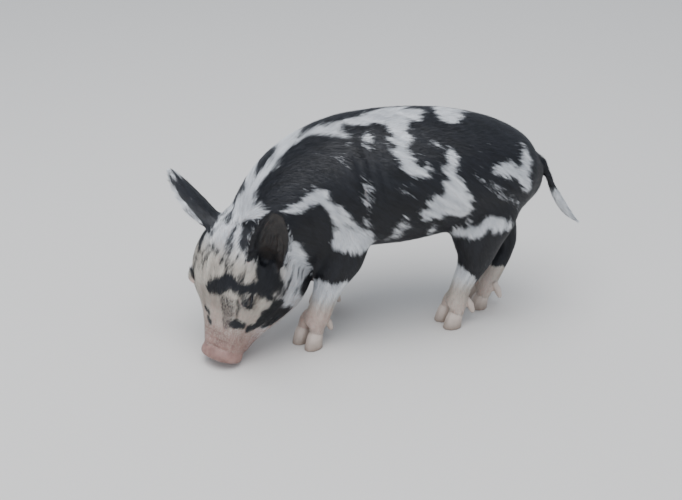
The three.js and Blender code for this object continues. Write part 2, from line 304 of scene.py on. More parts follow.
# Skin
def polygons(values, level, low=fieldLow, grid=fieldGrid):
    surface = openvdb.FloatGrid(float(values.max()))
    surface.transform = grid
    surface.gridClass = openvdb.GridClass.LEVEL_SET
    surface.copyFromArray(values, ijk=tuple(int(i) for i in low))
    points, quads = surface.convertToQuads(isovalue=level)
    return points.astype(float), quads[:, ::-1].astype(int)


points, quads = polygons(body, -skinPlan["first"])
print("first skin", len(points), "points", len(quads), "quads")


def meshFrom(name, points, faces):
    mesh = bpy.data.meshes.new(name)
    mesh.from_pydata(points.tolist(), [], faces.tolist())
    mesh.update()
    return mesh


def refine(mesh, chosen):
    # halves the edges of the faces that chosen(points) picks
    work = bmesh.new()
    work.from_mesh(mesh)
    centres = np.array([f.calc_center_median() for f in work.faces])
    picked = chosen(centres)
    edges = {e for f, pick in zip(work.faces, picked) if pick for e in f.edges}
    bmesh.ops.subdivide_edges(work, edges=list(edges), cuts=1, use_grid_fill=True)
    loose = [f for f in work.faces if len(f.verts) > 4]
    bmesh.ops.triangulate(work, faces=loose)
    work.to_mesh(mesh)
    work.free()


def pointsOf(mesh):
    flat = np.zeros(len(mesh.vertices) * 3, np.float32)
    mesh.vertices.foreach_get("co", flat)
    return flat.reshape(-1, 3).astype(float)


def edgesOf(mesh):
    flat = np.zeros(len(mesh.edges) * 2, np.int32)
    mesh.edges.foreach_get("vertices", flat)
    return flat.reshape(-1, 2)


def normalsOf(mesh):
    flat = np.zeros(len(mesh.vertices) * 3, np.float32)
    mesh.vertex_normals.foreach_get("vector", flat)
    return flat.reshape(-1, 3).astype(float)


def settle(points):
    # moves the skin to its new points and gives its normals there
    skinMesh.vertices.foreach_set("co", points.astype(np.float32).ravel())
    skinMesh.update()
    return normalsOf(skinMesh)


def spread(values, edges, rounds):
    # each point takes the mean of itself and its neighbours, over and over
    values = np.array(values, float)
    flat = values.reshape(len(values), -1)
    ends = np.concatenate([edges[:, 0], edges[:, 1]])
    others = np.concatenate([edges[:, 1], edges[:, 0]])
    count = 1 + np.bincount(ends, minlength=len(flat))
    for _ in range(rounds):
        sums = [np.bincount(ends, weights=flat[others, c], minlength=len(flat))
                for c in range(flat.shape[1])]
        flat = (flat + np.stack(sums, axis=1)) / count[:, None]
    return flat.reshape(values.shape)


def nearEye(points, radius):
    return np.minimum(*[np.linalg.norm(points - middle(f"eye_{s}"), axis=1) for s in sideNames]) < radius


def onMuzzle(points, start):
    at = inHead(points)
    nearHead = (np.abs(at[:, 1]) < 40 * mm) & (np.abs(at[:, 2]) < 70 * mm)
    return nearHead & (at[:, 0] > start)


def inEar(points):
    inside = np.zeros(len(points), bool)
    for name in earNames:
        low, high = (np.array(c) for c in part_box(name))
        inside |= np.all((points > low) & (points < high), axis=1)
    return inside


skinMesh = meshFrom("skin", points, quads)
refine(skinMesh, lambda p: nearEye(p, 24 * mm) | onMuzzle(p, 20 * mm) | inEar(p) | (p[:, 2] < 30 * mm))
refine(skinMesh, lambda p: nearEye(p, 15 * mm) | onMuzzle(p, 62 * mm))
points = pointsOf(skinMesh)
for _ in range(3):
    points -= slopeOf(body, points) * (sample(body, points) + skinPlan["first"])[:, None]
edges = edgesOf(skinMesh)
print("refined skin", len(points), "points")

# Which solid each point of the skin stands for
skinNames = (*fleshNames, *hornNames)
solidPoints, solidTriangles, solidOwners = [], [], []
for index, name in enumerate(skinNames):
    p, t = nodeMesh(name)
    solidTriangles.append(t + sum(len(q) for q in solidPoints))
    solidPoints.append(p)
    solidOwners += [index] * len(t)
solids = BVHTree.FromPolygons(np.vstack(solidPoints).tolist(), np.vstack(solidTriangles).tolist())
solidOwners = np.array(solidOwners)
owners = solidOwners[[solids.find_nearest(p)[2] for p in points.tolist()]]


def ownedBy(*names):
    return np.isin(owners, [skinNames.index(n) for n in names])


inFace, inBody = ownedBy("head", "lower_jaw", "snout_disc"), ownedBy("trunk", "neck")


# How deep the skin lies under the tips of the coat
coatDepth = {
    "trunk": 3.2 * mm,
    "neck": 3.2 * mm,
    "head": 1.9 * mm,
    "lower_jaw": 1.7 * mm,
    "snout_disc": 0.5 * mm,
    "ear_left": 0.8 * mm,
    "ear_right": 0.8 * mm,
    "tail": 2.6 * mm,
    "foreleg_left": 2.4 * mm,
    "foreleg_right": 2.4 * mm,
    "hindleg_left": 2.4 * mm,
    "hindleg_right": 2.4 * mm,
}
underHorn = 1.5 * mm
depth = np.array([coatDepth.get(n, underHorn) for n in skinNames])[owners]
legs = ownedBy(*legNames)
depth[legs] *= 0.35 + 0.65 * ramp(points[legs, 2], 18 * mm, 60 * mm)
muzzle = onMuzzle(points, 20 * mm) & ownedBy("head", "lower_jaw")
depth[muzzle] *= 1 - 0.6 * ramp(inHead(points[muzzle])[:, 0], 25 * mm, 65 * mm)
depth = spread(depth, edges, 14)
points -= settle(points) * (depth - skinPlan["first"])[:, None]
points = spread(points, edges, 1)

# Eyelids. Each eye has axes of its own: out of the socket, along the slit to its front corner, and
# up across the slit.
lids = {
    "slitLength": 15 * mm,
    "upperSag": 0.8 * mm,  # how far the edge of each lid hangs below the line of the corners
    "lowerSag": 4.9 * mm,
    "cornersUp": 2.4 * mm,  # the corners lie this far above the middle of the eyeball
    "slant": 8,  # degrees that the front corner drops below the line of the muzzle
    "thick": 1.1 * mm,
    "edge": 0.8 * mm,
    "tuck": 2.2 * mm,  # how far the skin goes down behind the eyeball
}
# Folds round the eye: 1 over it or -1 under it, the distance from the slit, depth and width in mm
lidFolds = [(1, 4.6, 1.0, 0.8), (-1, 2.9, 0.5, 0.6), (-1, 5.0, 0.55, 0.7), (-1, 7.4, 0.5, 0.8),
            (1, 8.6, 0.45, 1.1)]


def eyeAxes(sideName):
    centre = middle(f"eye_{sideName}")
    side = -1 if sideName == "left" else 1
    out = unit(side * aside * 0.86 + ahead * 0.27 + above * 0.42)
    slant = math.radians(lids["slant"])
    along = ahead * math.cos(slant) - above * math.sin(slant)
    along = unit(along - out * (along @ out))
    up = np.cross(along, out) * side
    return centre, out, along, up


def eyeRadius(sideName):
    low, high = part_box(f"eye_{sideName}")
    return (high - low).z / 2


def slitDistance(a, b):
    # signed distance to the edge of the opening, a bent almond: above zero is outside it
    half = lids["slitLength"] / 2
    x = np.clip(np.abs(a) / half, 0, 1)
    arc = 1 - x ** 2
    middleLine = lids["cornersUp"] - (lids["upperSag"] + lids["lowerSag"]) / 2 * arc
    rise = (lids["lowerSag"] - lids["upperSag"]) / 2 * arc
    beyond = np.maximum(np.abs(a) - half, 0)
    return np.where(beyond > 0, np.hypot(beyond, b - middleLine),
                    (np.abs(b - middleLine) - rise) * (0.6 + 0.4 * (1 - x)))


def shapeLids(points, sideName):
    centre, out, along, up = eyeAxes(sideName)
    radius = eyeRadius(sideName)
    local = points - centre
    h, a, b = local @ out, local @ along, local @ up
    around = np.hypot(a, b)
    near = (around < 16 * mm) & (h > 0)
    ball = np.sqrt(np.maximum(radius ** 2 - around ** 2, 0))
    outside = slitDistance(a, b)
    lid = ball + lids["thick"] * ramp(outside, -0.1 * mm, lids["edge"])
    lid += 0.6 * mm * ramp(b, 0, 3 * mm)
    fade = ramp(around, 13.5 * mm, 6.5 * mm)
    height = h + (np.maximum(lid, h) - h) * fade
    for over, distance, deep, wide in lidFolds:
        fold = np.exp(-((outside / mm - distance) / wide) ** 2)
        height -= deep * mm * fold * ramp(over * b, -1 * mm, 1.5 * mm) * ramp(around, 14 * mm, 10 * mm)
    inside = ramp(outside, 0.15 * mm, -0.6 * mm)
    height = height * (1 - inside) + (ball - lids["tuck"]) * inside
    moved = points + out * (height - h)[:, None]
    return np.where(near[:, None], moved, points)


for sideName in sideNames:
    points = shapeLids(points, sideName)


# Grooves and folds
def lineDistance(at, line):
    # distance from points to a line of few points, in the plane of its two coordinates, and the
    # share of the line passed there
    line = np.asarray(line, float)
    lengths = np.linalg.norm(np.diff(line, axis=0), axis=1)
    before = np.concatenate([[0], np.cumsum(lengths)])
    best, share = np.full(len(at), 1e9), np.zeros(len(at))
    for k, (p, q) in enumerate(zip(line[:-1], line[1:])):
        t = np.clip(((at - p) @ (q - p)) / max(lengths[k] ** 2, 1e-12), 0, 1)
        gap = np.linalg.norm(at - (p + t[:, None] * (q - p)), axis=1)
        closer = gap < best
        best = np.where(closer, gap, best)
        share = np.where(closer, (before[k] + t * lengths[k]) / before[-1], share)
    return best, share


def crease(at, line, deep, wide):
    # a groove along a line, with a low lip on each side, that fades out at its ends
    gap, share = lineDistance(at, line)
    ends = ramp(share, -0.01, 0.2) * ramp(share, 1.01, 0.8)
    groove = np.exp(-(gap / wide) ** 2)
    lips = np.exp(-((gap - 2.1 * wide) / wide) ** 2)
    return deep * (0.35 * lips - groove) * ends


snout = {
    "faceAhead": 81 * mm,  # from the eyes to the face of the disc
    "nostrilAside": 9 * mm,
    "nostrilAbove": -17.5 * mm,
    "nostrilWide": 3.1 * mm,
    "nostrilHigh": 3.9 * mm,
    "nostrilDeep": 6 * mm,
    "mouthDeep": 1.9 * mm,
    "mouthWide": 1.3 * mm,
    "foldWide": 1.5 * mm,
}
# The mouth and the folds across the bridge of the snout: mm ahead of the eyes, then above them or
# the fold's depth
mouthLine = [(78 * mm, -34 * mm), (55 * mm, -36.5 * mm), (36 * mm, -40 * mm), (24 * mm, -41 * mm),
             (17 * mm, -38 * mm)]
bridgeFolds = [(68 * mm, 1.0 * mm), (60 * mm, 0.6 * mm), (53 * mm, 0.45 * mm), (46 * mm, 0.3 * mm)]

at = inHead(points)
normals = settle(points)
push = np.zeros(len(points))
cheek = inFace & (np.abs(at[:, 1]) > 7 * mm)
push[cheek] += crease(at[cheek][:, [0, 2]], mouthLine, snout["mouthDeep"], snout["mouthWide"])
for where, deep in bridgeFolds:
    wave = 1.6 * mm * np.cos(at[:, 1] / (7 * mm)) + 0.12 * np.abs(at[:, 1])
    shown = ramp(np.abs(at[:, 1]), 21 * mm, 12 * mm) * ramp(at[:, 2], -24 * mm, -14 * mm) * inFace
    push -= deep * np.exp(-((at[:, 0] - where + wave) / snout["foldWide"]) ** 2) * shown
points += normals * push[:, None]
for side in (-1, 1):
    # a nostril, a hole with a raised rim, bent round towards the middle
    at = inHead(points)
    onFace = (at[:, 0] > snout["faceAhead"] - 9 * mm) & inFace
    x = (at[:, 1] - side * snout["nostrilAside"]) / snout["nostrilWide"]
    y = (at[:, 2] - snout["nostrilAbove"]) / snout["nostrilHigh"]
    x = x + side * 0.35 * y ** 2
    r = np.hypot(x, y)
    hole = snout["nostrilDeep"] * ramp(r, 1.0, 0.55) - 0.5 * mm * np.exp(-((r - 1.35) / 0.28) ** 2)
    points -= ahead * (hole * onFace)[:, None]
points[:, 2] = np.maximum(points[:, 2], 0.2 * mm)
settle(points)
skinMesh.shade_smooth()


# Places on the body
def smoothLine(points, steps=16):
    # a curve through a few points
    points = [np.asarray(p, float) for p in points]
    ends = [2 * points[0] - points[1], *points, 2 * points[-1] - points[-2]]
    made = []
    for a, b, c, d in zip(ends, ends[1:], ends[2:], ends[3:]):
        for t in np.arange(steps) / steps:
            made.append(0.5 * (2 * b + (c - a) * t + (2 * a - 5 * b + 4 * c - d) * t ** 2
                               + (3 * b - a - 3 * c + d) * t ** 3))
    return np.array([*made, points[-1]])


def trunkPlace(*shares):
    # a place in the trunk's box, as shares of its length, width and height
    low, high = (np.array(c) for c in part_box("trunk"))
    return low + (high - low) * shares


def roundLine(points, line, upward):
    # how far along a line each point is, the angle round it from its upper side to the pig's
    # left, and the distance from it
    tangents = unit(np.gradient(line, axis=0))
    lengths = np.concatenate([[0], np.cumsum(np.linalg.norm(np.diff(line, axis=0), axis=1))])
    nearest, best = np.zeros(len(points), int), np.full(len(points), 1e9)
    for index, place in enumerate(line):
        gap = ((points - place) ** 2).sum(axis=1)
        closer = gap < best
        nearest[closer], best[closer] = index, gap[closer]
    away, tangent = points - line[nearest], tangents[nearest]
    up = unit(upward - tangent * (tangent @ upward)[:, None])
    leftwards = np.cross(up, tangent)
    across, upwards = (away * leftwards).sum(axis=1), (away * up).sum(axis=1)
    along = lengths[nearest] + (away * tangent).sum(axis=1)
    return along, np.degrees(np.arctan2(across, upwards)), np.hypot(across, upwards)


# Mean radius, which turns degrees round into a length on the surface
meanRadius = {"body": 68 * mm, "head": 46 * mm, "limb": 16 * mm}
skyward = np.array([0.0, 0.0, 1.0])
forward = np.array([-1.0, 0.0, 0.0])
backLine = smoothLine([trunkPlace(1, 0.5, 0.42), trunkPlace(0.5, 0.5, 0.5),
                       trunkPlace(0.1, 0.48, 0.45), fromHead((-60 * mm, 0, 0))])
faceLine = np.array([fromHead((x, 0, -30 * mm)) for x in np.linspace(-90, 90, 40) * mm])


def sliceLine(name):
    # the middle of a leg or the tail at each height
    chosen = points[ownedBy(name)]
    heights = np.linspace(chosen[:, 2].max(), chosen[:, 2].min(), 22)
    half = (heights[0] - heights[-1]) / 30
    slices = [chosen[np.abs(chosen[:, 2] - z) < half] for z in heights]
    return np.array([(c.min(axis=0) + c.max(axis=0)) / 2 for c in slices])


bodyAlong, bodyAround, bodyRadius = roundLine(points, backLine, skyward)
headAlong, headAround, headRadius = roundLine(points, faceLine, above)
headAlong -= 90 * mm  # from the eyes
limbAlong, limbAround = np.zeros(len(points)), np.zeros(len(points))
for name in (*legNames, "tail"):
    limb = ownedBy(name)
    limbAlong[limb], limbAround[limb], _ = roundLine(points[limb], sliceLine(name), forward)


# Folds of loose skin on the body: places on each one's line, as mm along and degrees round, and
# how deep and how wide it is in mm
bodyFolds = {
    "behind the shoulder": [[(224, 34), (216, 56), (209, 80), (207, 104)], 2.0, 3.2],
    "second behind the shoulder": [[(211, 22), (204, 50), (199, 76), (197, 98)], 1.8, 3.2],
    "third behind the shoulder": [[(199, 40), (192, 62), (189, 86)], 1.4, 3.0],
    "neck": [[(302, 44), (296, 74), (299, 112)], 0.9, 4.0],
    "second on the neck": [[(287, 56), (281, 84), (285, 118)], 0.7, 4.0],
    "flank to stifle": [[(126, 132), (116, 114), (103, 100), (92, 88)], 1.2, 4.0],
    "rump": [[(40, 90), (52, 74), (70, 66)], 0.6, 5.0],
}
bodyArc = np.stack([bodyAlong, np.radians(bodyAround) * meanRadius["body"]], axis=1)
push = np.zeros(len(points))
for line, deep, wide in bodyFolds.values():
    for side in (-1, 1):
        arcLine = [(a * mm, side * math.radians(r) * meanRadius["body"]) for a, r in line]
        push += crease(bodyArc, arcLine, deep * mm, wide * mm)
push *= spread(inBody.astype(float), edges, 12)
points += normals * push[:, None]


# Ridges inside the ears: places on each one, as mm along the ear and across it from its middle
earRidges = [[(16, -9), (30, -9), (48, -5), (62, -2)], [(14, -1), (28, 1), (42, 1)],
             [(13, 8), (26, 9), (44, 6)], [(12, 16), (24, 17), (34, 15)]]
earRelief = {"ridgeDeep": 1.3 * mm, "ridgeWide": 1.5 * mm, "roll": 1.5 * mm}
# The ears' outline: how far along the ear, and half its width there
earHalfWidths = [(0, 19.5 * mm), (20 * mm, 21.5 * mm), (40 * mm, 20.5 * mm), (55 * mm, 16.5 * mm),
                 (65 * mm, 12.7 * mm), (75 * mm, 7 * mm)]


def inEarAxes(name, places):
    root = fromHead(np.array(earPlan[name]["root"]) * mm)
    return (places - root) @ np.stack(earAxes(name), axis=1)


def earFront(name):
    # the side of the ear that is rolled over, as a sign of the way across it
    return np.sign(earAxes(name)[2] @ above)


normals = settle(points)
innerEar, earRim = np.zeros(len(points)), np.zeros(len(points))
push = np.zeros(len(points))
for name in earNames:
    ear = ownedBy(name)
    earAt = inEarAxes(name, points[ear])[:, [0, 2]]
    halfWide = np.interp(earAt[:, 0], *zip(*earHalfWidths))
    earRim[ear] = ramp(np.abs(earAt[:, 1]) / halfWide, 0.78, 0.93)
    innerEar[ear] = ramp(normals[ear] @ earAxes(name)[1], -0.1, 0.35) * (1 - earRim[ear])
    front = earAt[:, 1] / halfWide * earFront(name)
    innerEar[ear] *= ramp(front, 0.6, 0.36)
    for line in earRidges:
        push[ear] -= crease(earAt, np.array(line) * mm, earRelief["ridgeDeep"], earRelief["ridgeWide"])
    push[ear] *= innerEar[ear]
    # the front edge is rolled over, with a groove behind the roll
    roll = np.exp(-((front - 0.74) / 0.14) ** 2) - 0.7 * np.exp(-((front - 0.4) / 0.16) ** 2)
    roll *= ramp(normals[ear] @ earAxes(name)[1], 0, 0.5)
    roll *= ramp(earAt[:, 0], 6 * mm, 16 * mm) * ramp(earAt[:, 0], 72 * mm, 60 * mm)
    push[ear] += earRelief["roll"] * roll
innerEar = spread(innerEar, edges, 2)
points += normals * push[:, None]


# Markings
def latticeValue(cells, seed):
    i, j, k = (cells[:, c].astype(np.int64) for c in range(3))
    h = (i * 73856093) ^ (j * 19349663) ^ (k * 83492791) ^ (seed * 2654435761)
    h = ((h ^ (h >> 13)) * 1274126177) & 0xFFFFFFFF
    return ((h ^ (h >> 16)) & 0xFFFF) / 32767.5 - 1


def noise(places, seed):
    # smooth random values from -1 to 1, one cell to each unit of place
    cell = np.floor(places).astype(int)
    f = places - cell
    f = f * f * (3 - 2 * f)
    total = 0
    for corner in np.ndindex(2, 2, 2):
        weight = np.prod(np.where(corner, f, 1 - f), axis=1)
        total = total + latticeValue(cell + corner, seed) * weight
    return total


# Each patch is a stroke: places on its middle line, as mm along and degrees round, and its half
# width in mm there. On the body, along runs from the rump to the poll, and round from the spine to
# the left. On the head, along runs from the eyes to the snout, and round from the brow to the left.
# The body's patches are white and the face's are black. Flecks and greys mix hairs of both; three of the
# greys are painted light: shade under the two ears and a highlight on the thigh.
bodyPatches = {
    "crest": [(262, -28, 12), (264, -10, 11), (275, -2, 8), (290, 5, 8), (305, 6, 8), (322, 3, 13)],
    "crest, far side": [(296, -44, 8), (308, -25, 9), (322, -10, 12)],
    "poll": [(334, -50, 10), (334, -20, 13), (334, 10, 13), (335, 35, 10), (332, 52, 8)],
    "withers": [(262, 4, 4), (248, 3, 5), (238, 7, 8), (228, 14, 8), (220, 24, 5), (217, 30, 2)],
    "back stripe": [(209, 8, 6), (196, 9, 9), (182, 7, 12), (166, 1, 17), (152, 4, 12)],
    "back branch": [(166, 14, 11), (167, 28, 9), (168, 42, 7), (165, 54, 7), (157, 61, 6), (149, 63, 3)],
    "loin": [(94, -8, 4), (113, -6, 12), (113, 5, 12), (115, 13, 9)],
    "flank": [(122, 48, 4), (125, 60, 4), (121, 73, 9), (118, 86, 14), (109, 97, 11), (102, 102, 5)],
    "flank, lower": [(120, 90, 12), (134, 94, 12), (146, 101, 6)],
    "rump": [(74, 60, 4), (66, 58, 8), (54, 62, 8), (43, 62, 8), (38, 48, 5), (38, 32, 3)],
    "rump, lower": [(44, 64, 8), (38, 74, 4), (35, 84, 1.5)],
    "shoulder band": [(310, 68, 3), (292, 69, 5), (274, 67, 8), (262, 72, 8), (252, 84, 8), (240, 98, 10)],
    "shoulder": [(258, 117, 6), (242, 112, 12), (228, 112, 15), (214, 117, 13), (203, 127, 7)],
    "behind the jaw": [(322, 108, 6), (320, 122, 10), (312, 136, 9), (300, 147, 7)],
    "stifle": [(103, 138, 5), (98, 128, 7), (89, 119, 8), (76, 114, 6), (66, 114, 6), (56, 118, 5),
               (46, 127, 4)],
    "far shoulder": [(262, -62, 7), (246, -84, 12), (232, -104, 15), (220, -118, 8)],
    "far flank": [(150, -46, 5), (140, -60, 10), (128, -74, 13), (120, -90, 8)],
    "far rump": [(70, -48, 8), (56, -58, 11), (48, -76, 6)],
    "far loin": [(190, -22, 7), (182, -38, 8), (186, -54, 4)],
    "far stifle": [(100, -124, 6), (84, -116, 8), (66, -116, 6)],
}
bodyFlecks = {
    "behind the shoulder": [(199, 20, 3), (197, 32, 3.5), (198, 44, 1.5)],
    "ribs": [(207, 66, 3), (205, 73, 5), (208, 90, 2.5), (206, 104, 2)],
    "rib streak": [(173, 70, 1.5), (165, 81, 1.5)],
    "loin fleck": [(139, 39, 2.5), (133, 43, 3)],
    "belly": [(167, 102, 3), (169, 114, 6), (176, 125, 5), (186, 134, 3)],
    "belly, rear": [(136, 114, 3), (136, 130, 5)],
}
bodyGreys = {
    # painted highlight: the pale streak on the thigh runs beside the rump fold, drawn as pale hairs mixed
    # into the black
    "thigh, painted highlight along the rump fold": [(100, 66, 2), (78, 74, 4), (58, 88, 4), (40, 106, 2)],
    "shoulder": [(238, 40, 1.5), (226, 44, 1.5)],
}
facePatches = {
    "near ear's base": [(-66, 27, 8), (-60, 28, 8), (-50, 31, 7), (-43, 42, 5)],
    "forehead": [(5, -6, 5), (1, 4, 8), (-4, 14, 9), (-12, 24, 9), (-6, 34, 6), (-9, 48, 6), (-14, 60, 8)],
    "cheek": [(-41, 56, 6), (-30, 64, 11), (-18, 72, 9), (-6, 64, 6), (-2, 74, 4)],
    "jaw stripe": [(6, 84, 8), (20, 84, 10), (32, 76, 6), (36, 66, 5)],
    "jaw stripe, lower": [(16, 98, 9), (20, 112, 9), (33, 92, 6)],
    "muzzle spot": [(36, 35, 3.5), (33, 42, 6.5), (34, 51, 4)],
    "spot on the bridge": [(31, -22, 2.2), (33, -13, 2.2)],
    "second spot on the bridge": [(39, -16, 2.6), (42, -9, 3)],
    "far brow": [(-5, -50, 3), (-3, -42, 3), (3, -38, 2)],
    "far ear's base": [(-52, -48, 6), (-41, -48, 5), (-35, -42, 4), (-28, -34, 2)],
    "far forehead": [(-10, -66, 8), (-20, -78, 12), (-8, -98, 12)],
    "far jaw": [(18, -96, 9), (32, -88, 6)],
    "throat": [(-14, 128, 12), (-10, 150, 12), (10, 150, 12), (30, 140, 6)],
    "throat, far side": [(-10, -130, 14), (14, -124, 10)],
}
faceGreys = {
    "forelock": [(-38, -20, 5), (-34, -6, 6)],
    "poll": [(-66, 4, 5), (-52, 6, 6), (-42, 10, 5)],
    "forelock, near": [(-52, 12, 4), (-32, 15, 7), (-22, 20, 7)],
    "below the eye": [(12, 24, 8), (26, 27, 9), (37, 26, 7)],
    "beside the eye": [(-2, 44, 5), (8, 50, 6)],
    "front corner of the eye": [(6, 37, 3.5), (15, 41, 4), (24, 42, 2.5)],
    "temple": [(-20, -38, 4), (-10, -36, 4)],
    # painted shade: dark grey bands at the roots of the ears stand for the shade under each ear
    "painted shade under the far ear": [(-66, -55, 6), (-66, -30, 6), (-64, -8, 4)],
    "painted shade under the near ear": [(-58, 24, 5), (-52, 30, 6)],
}


def painted(patches, along, around, radius, feather):
    # how far inside the nearest patch each place is: 0.5 on its edge, 0 to 1 across the feather
    best = np.full(len(along), -1e9)
    arc = np.radians(around) * radius
    for stroke in patches.values():
        for (a1, r1, w1), (a2, r2, w2) in zip(stroke, stroke[1:]):
            start = np.array([a1 * mm, math.radians(r1) * radius])
            span = np.array([(a2 - a1) * mm, math.radians(r2 - r1) * radius])
            here = np.stack([along, arc], axis=1) - start
            t = np.clip(here @ span / (span @ span), 0, 1)
            gap = np.linalg.norm(here - t[:, None] * span, axis=1)
            best = np.maximum(best, (w1 + (w2 - w1) * t) * mm - gap)
    return np.clip(0.5 + best / feather, 0, 1)


# On a leg, the heights in mm of the edges of its bands, at the front and at the rear of the leg: the
# black is between the two edges
legBands = {
    "foreleg_left": [(119, 112), (86, 84)],
    "foreleg_right": [(190, 190), (66, 60)],
    "hindleg_left": [(117, 126), (82, 56)],
    "hindleg_right": [(120, 124), (50, 44)],
}
# Uneven edges, in streaks along the lie of the coat and in small blots
streaks = noise(np.stack([bodyAlong / (26 * mm), np.radians(bodyAround) * 14, 0 * bodyAlong], 1), 3)
streaks += 0.6 * noise(np.stack([bodyAlong / (12 * mm), np.radians(bodyAround) * 34, 0 * bodyAlong], 1), 4)
blots = noise(points / (11 * mm), 5)
warpedAround = bodyAround + 2.5 * blots + 2.5 * streaks
warpedAlong = bodyAlong + 3 * mm * noise(points / (9 * mm), 6)
onChart = (warpedAlong, warpedAround, meanRadius["body"])
bodyWhite = painted(bodyPatches, *onChart, feather=10 * mm)
flecks = painted(bodyFlecks, *onChart, feather=6 * mm)
greys = painted(bodyGreys, *onChart, feather=8 * mm)
mixed = np.clip(np.maximum(flecks, greys) - bodyWhite, 0, 1) * inBody
bodyWhite = np.maximum(bodyWhite, np.maximum(0.56 * flecks, 0.36 * greys))

faceWarp = 3 * noise(points / (7 * mm), 7)
lockNoise = noise(np.stack([headAlong / (9 * mm), np.radians(headAround) * 17, 0 * headAlong], 1), 8)
onChart = (headAlong + 2.5 * mm * blots, headAround + faceWarp, meanRadius["head"])
headBlack = painted(facePatches, *onChart, feather=8 * mm)
headGrey = painted(faceGreys, *onChart, feather=8 * mm)
softGrey = {"below the eye": faceGreys["below the eye"]}
headMixed = painted(softGrey, *onChart, feather=8 * mm)
freckles = ramp(lockNoise + 0.4 * blots, -0.15, 0.4) * ramp(headAlong, 12 * mm, -16 * mm)
headWhite = 1 - np.maximum(headBlack, np.maximum(0.55 * headGrey, 0.6 * freckles))
for sideName in sideNames:
    # a soft dark ring round the opening, and the dark edges of the lids
    centre, _, along, up = eyeAxes(sideName)
    fromSlit = slitDistance((points - centre) @ along, (points - centre) @ up)
    ring = 0.22 * ramp(fromSlit + 1.2 * mm * lockNoise, 7.5 * mm, 2.5 * mm)
    headWhite *= 1 - np.maximum(ring, 0.9 * ramp(fromSlit, 2.0 * mm, 0.9 * mm)) * nearEye(points, 15 * mm)

legWhite = np.zeros(len(points))
for name, bands in legBands.items():
    leg = ownedBy(name)
    toRear = (1 - np.cos(np.radians(limbAround[leg]))) / 2
    height = points[leg, 2] / mm + 3 * blots[leg] + 2 * streaks[leg]
    (topFront, topRear), (lowFront, lowRear) = bands
    lowEdge = lowFront + (lowRear - lowFront) * toRear
    topEdge = topFront + (topRear - topFront) * toRear
    low = ramp(height, lowEdge + 3, lowEdge - 3)
    upper = ramp(height, topEdge - 2, topEdge + 4)
    legWhite[leg] = np.maximum(low, upper * bodyWhite[leg])

legWhite[ownedBy(*hornNames)] = 1
onHead = spread(inFace.astype(float), edges, 10)
onLeg = spread(ownedBy(*legNames, *hornNames).astype(float), edges, 10)
mixed = np.maximum(mixed, onHead * headMixed * (1 - headBlack))
onEar = ownedBy(*earNames).astype(float)
onTail = ownedBy("tail").astype(float)
white = bodyWhite * (1 - onLeg) + legWhite * onLeg
white = white * (1 - onHead) + headWhite * onHead
white = np.where(onTail > 0, ramp(points[:, 2], 150 * mm, 138 * mm) * 0.9, white)
for name in earNames:
    # each ear has a thin pale rim, and the far one has white hairs towards its tip: partly real pale
    # hairs, partly a painted highlight of the light on the rim and on the lit tip
    fromRoot = inEarAxes(name, points)[:, 0]
    tip = ramp(fromRoot, 48 * mm, 72 * mm) if name == "ear_right" else 0
    white = np.where(ownedBy(name), np.maximum(0.72 * ramp(earRim, 0.8, 1), 0.55 * tip), white)
white = np.clip(white, 0, 1)
print("markings", round(float(white.mean()), 3))


# Bare places: low on the feet, and the rosy skin of the snout and the forefeet
normals = settle(points)
onForeleg = points[:, 0] < 0
lowFoot = np.where(onForeleg, ramp(points[:, 2], 64 * mm, 40 * mm), ramp(points[:, 2], 42 * mm, 22 * mm))
rosy = np.maximum(onHead * ramp(headAlong, 30 * mm, 52 * mm),
                  0.35 * onLeg * ramp(points[:, 2] + 3 * mm * blots, 64 * mm, 40 * mm) * onForeleg)


def paint(mesh, name, values):
    layer = mesh.attributes.new(name, "FLOAT_COLOR", "POINT")
    rgba = np.ones((len(mesh.vertices), 4), np.float32)
    rgba[:, :values.shape[1]] = values
    layer.data.foreach_set("color", rgba.ravel())


earRoot = ramp(spread(onEar, edges, 8), 0.05, 0.4)
pinkSkin = np.maximum(ramp(white, 0.4, 0.8), 0.5 * mixed * onHead) * (1 - 0.9 * earRoot)
paint(skinMesh, "marking", np.stack([pinkSkin, rosy, innerEar], axis=1))


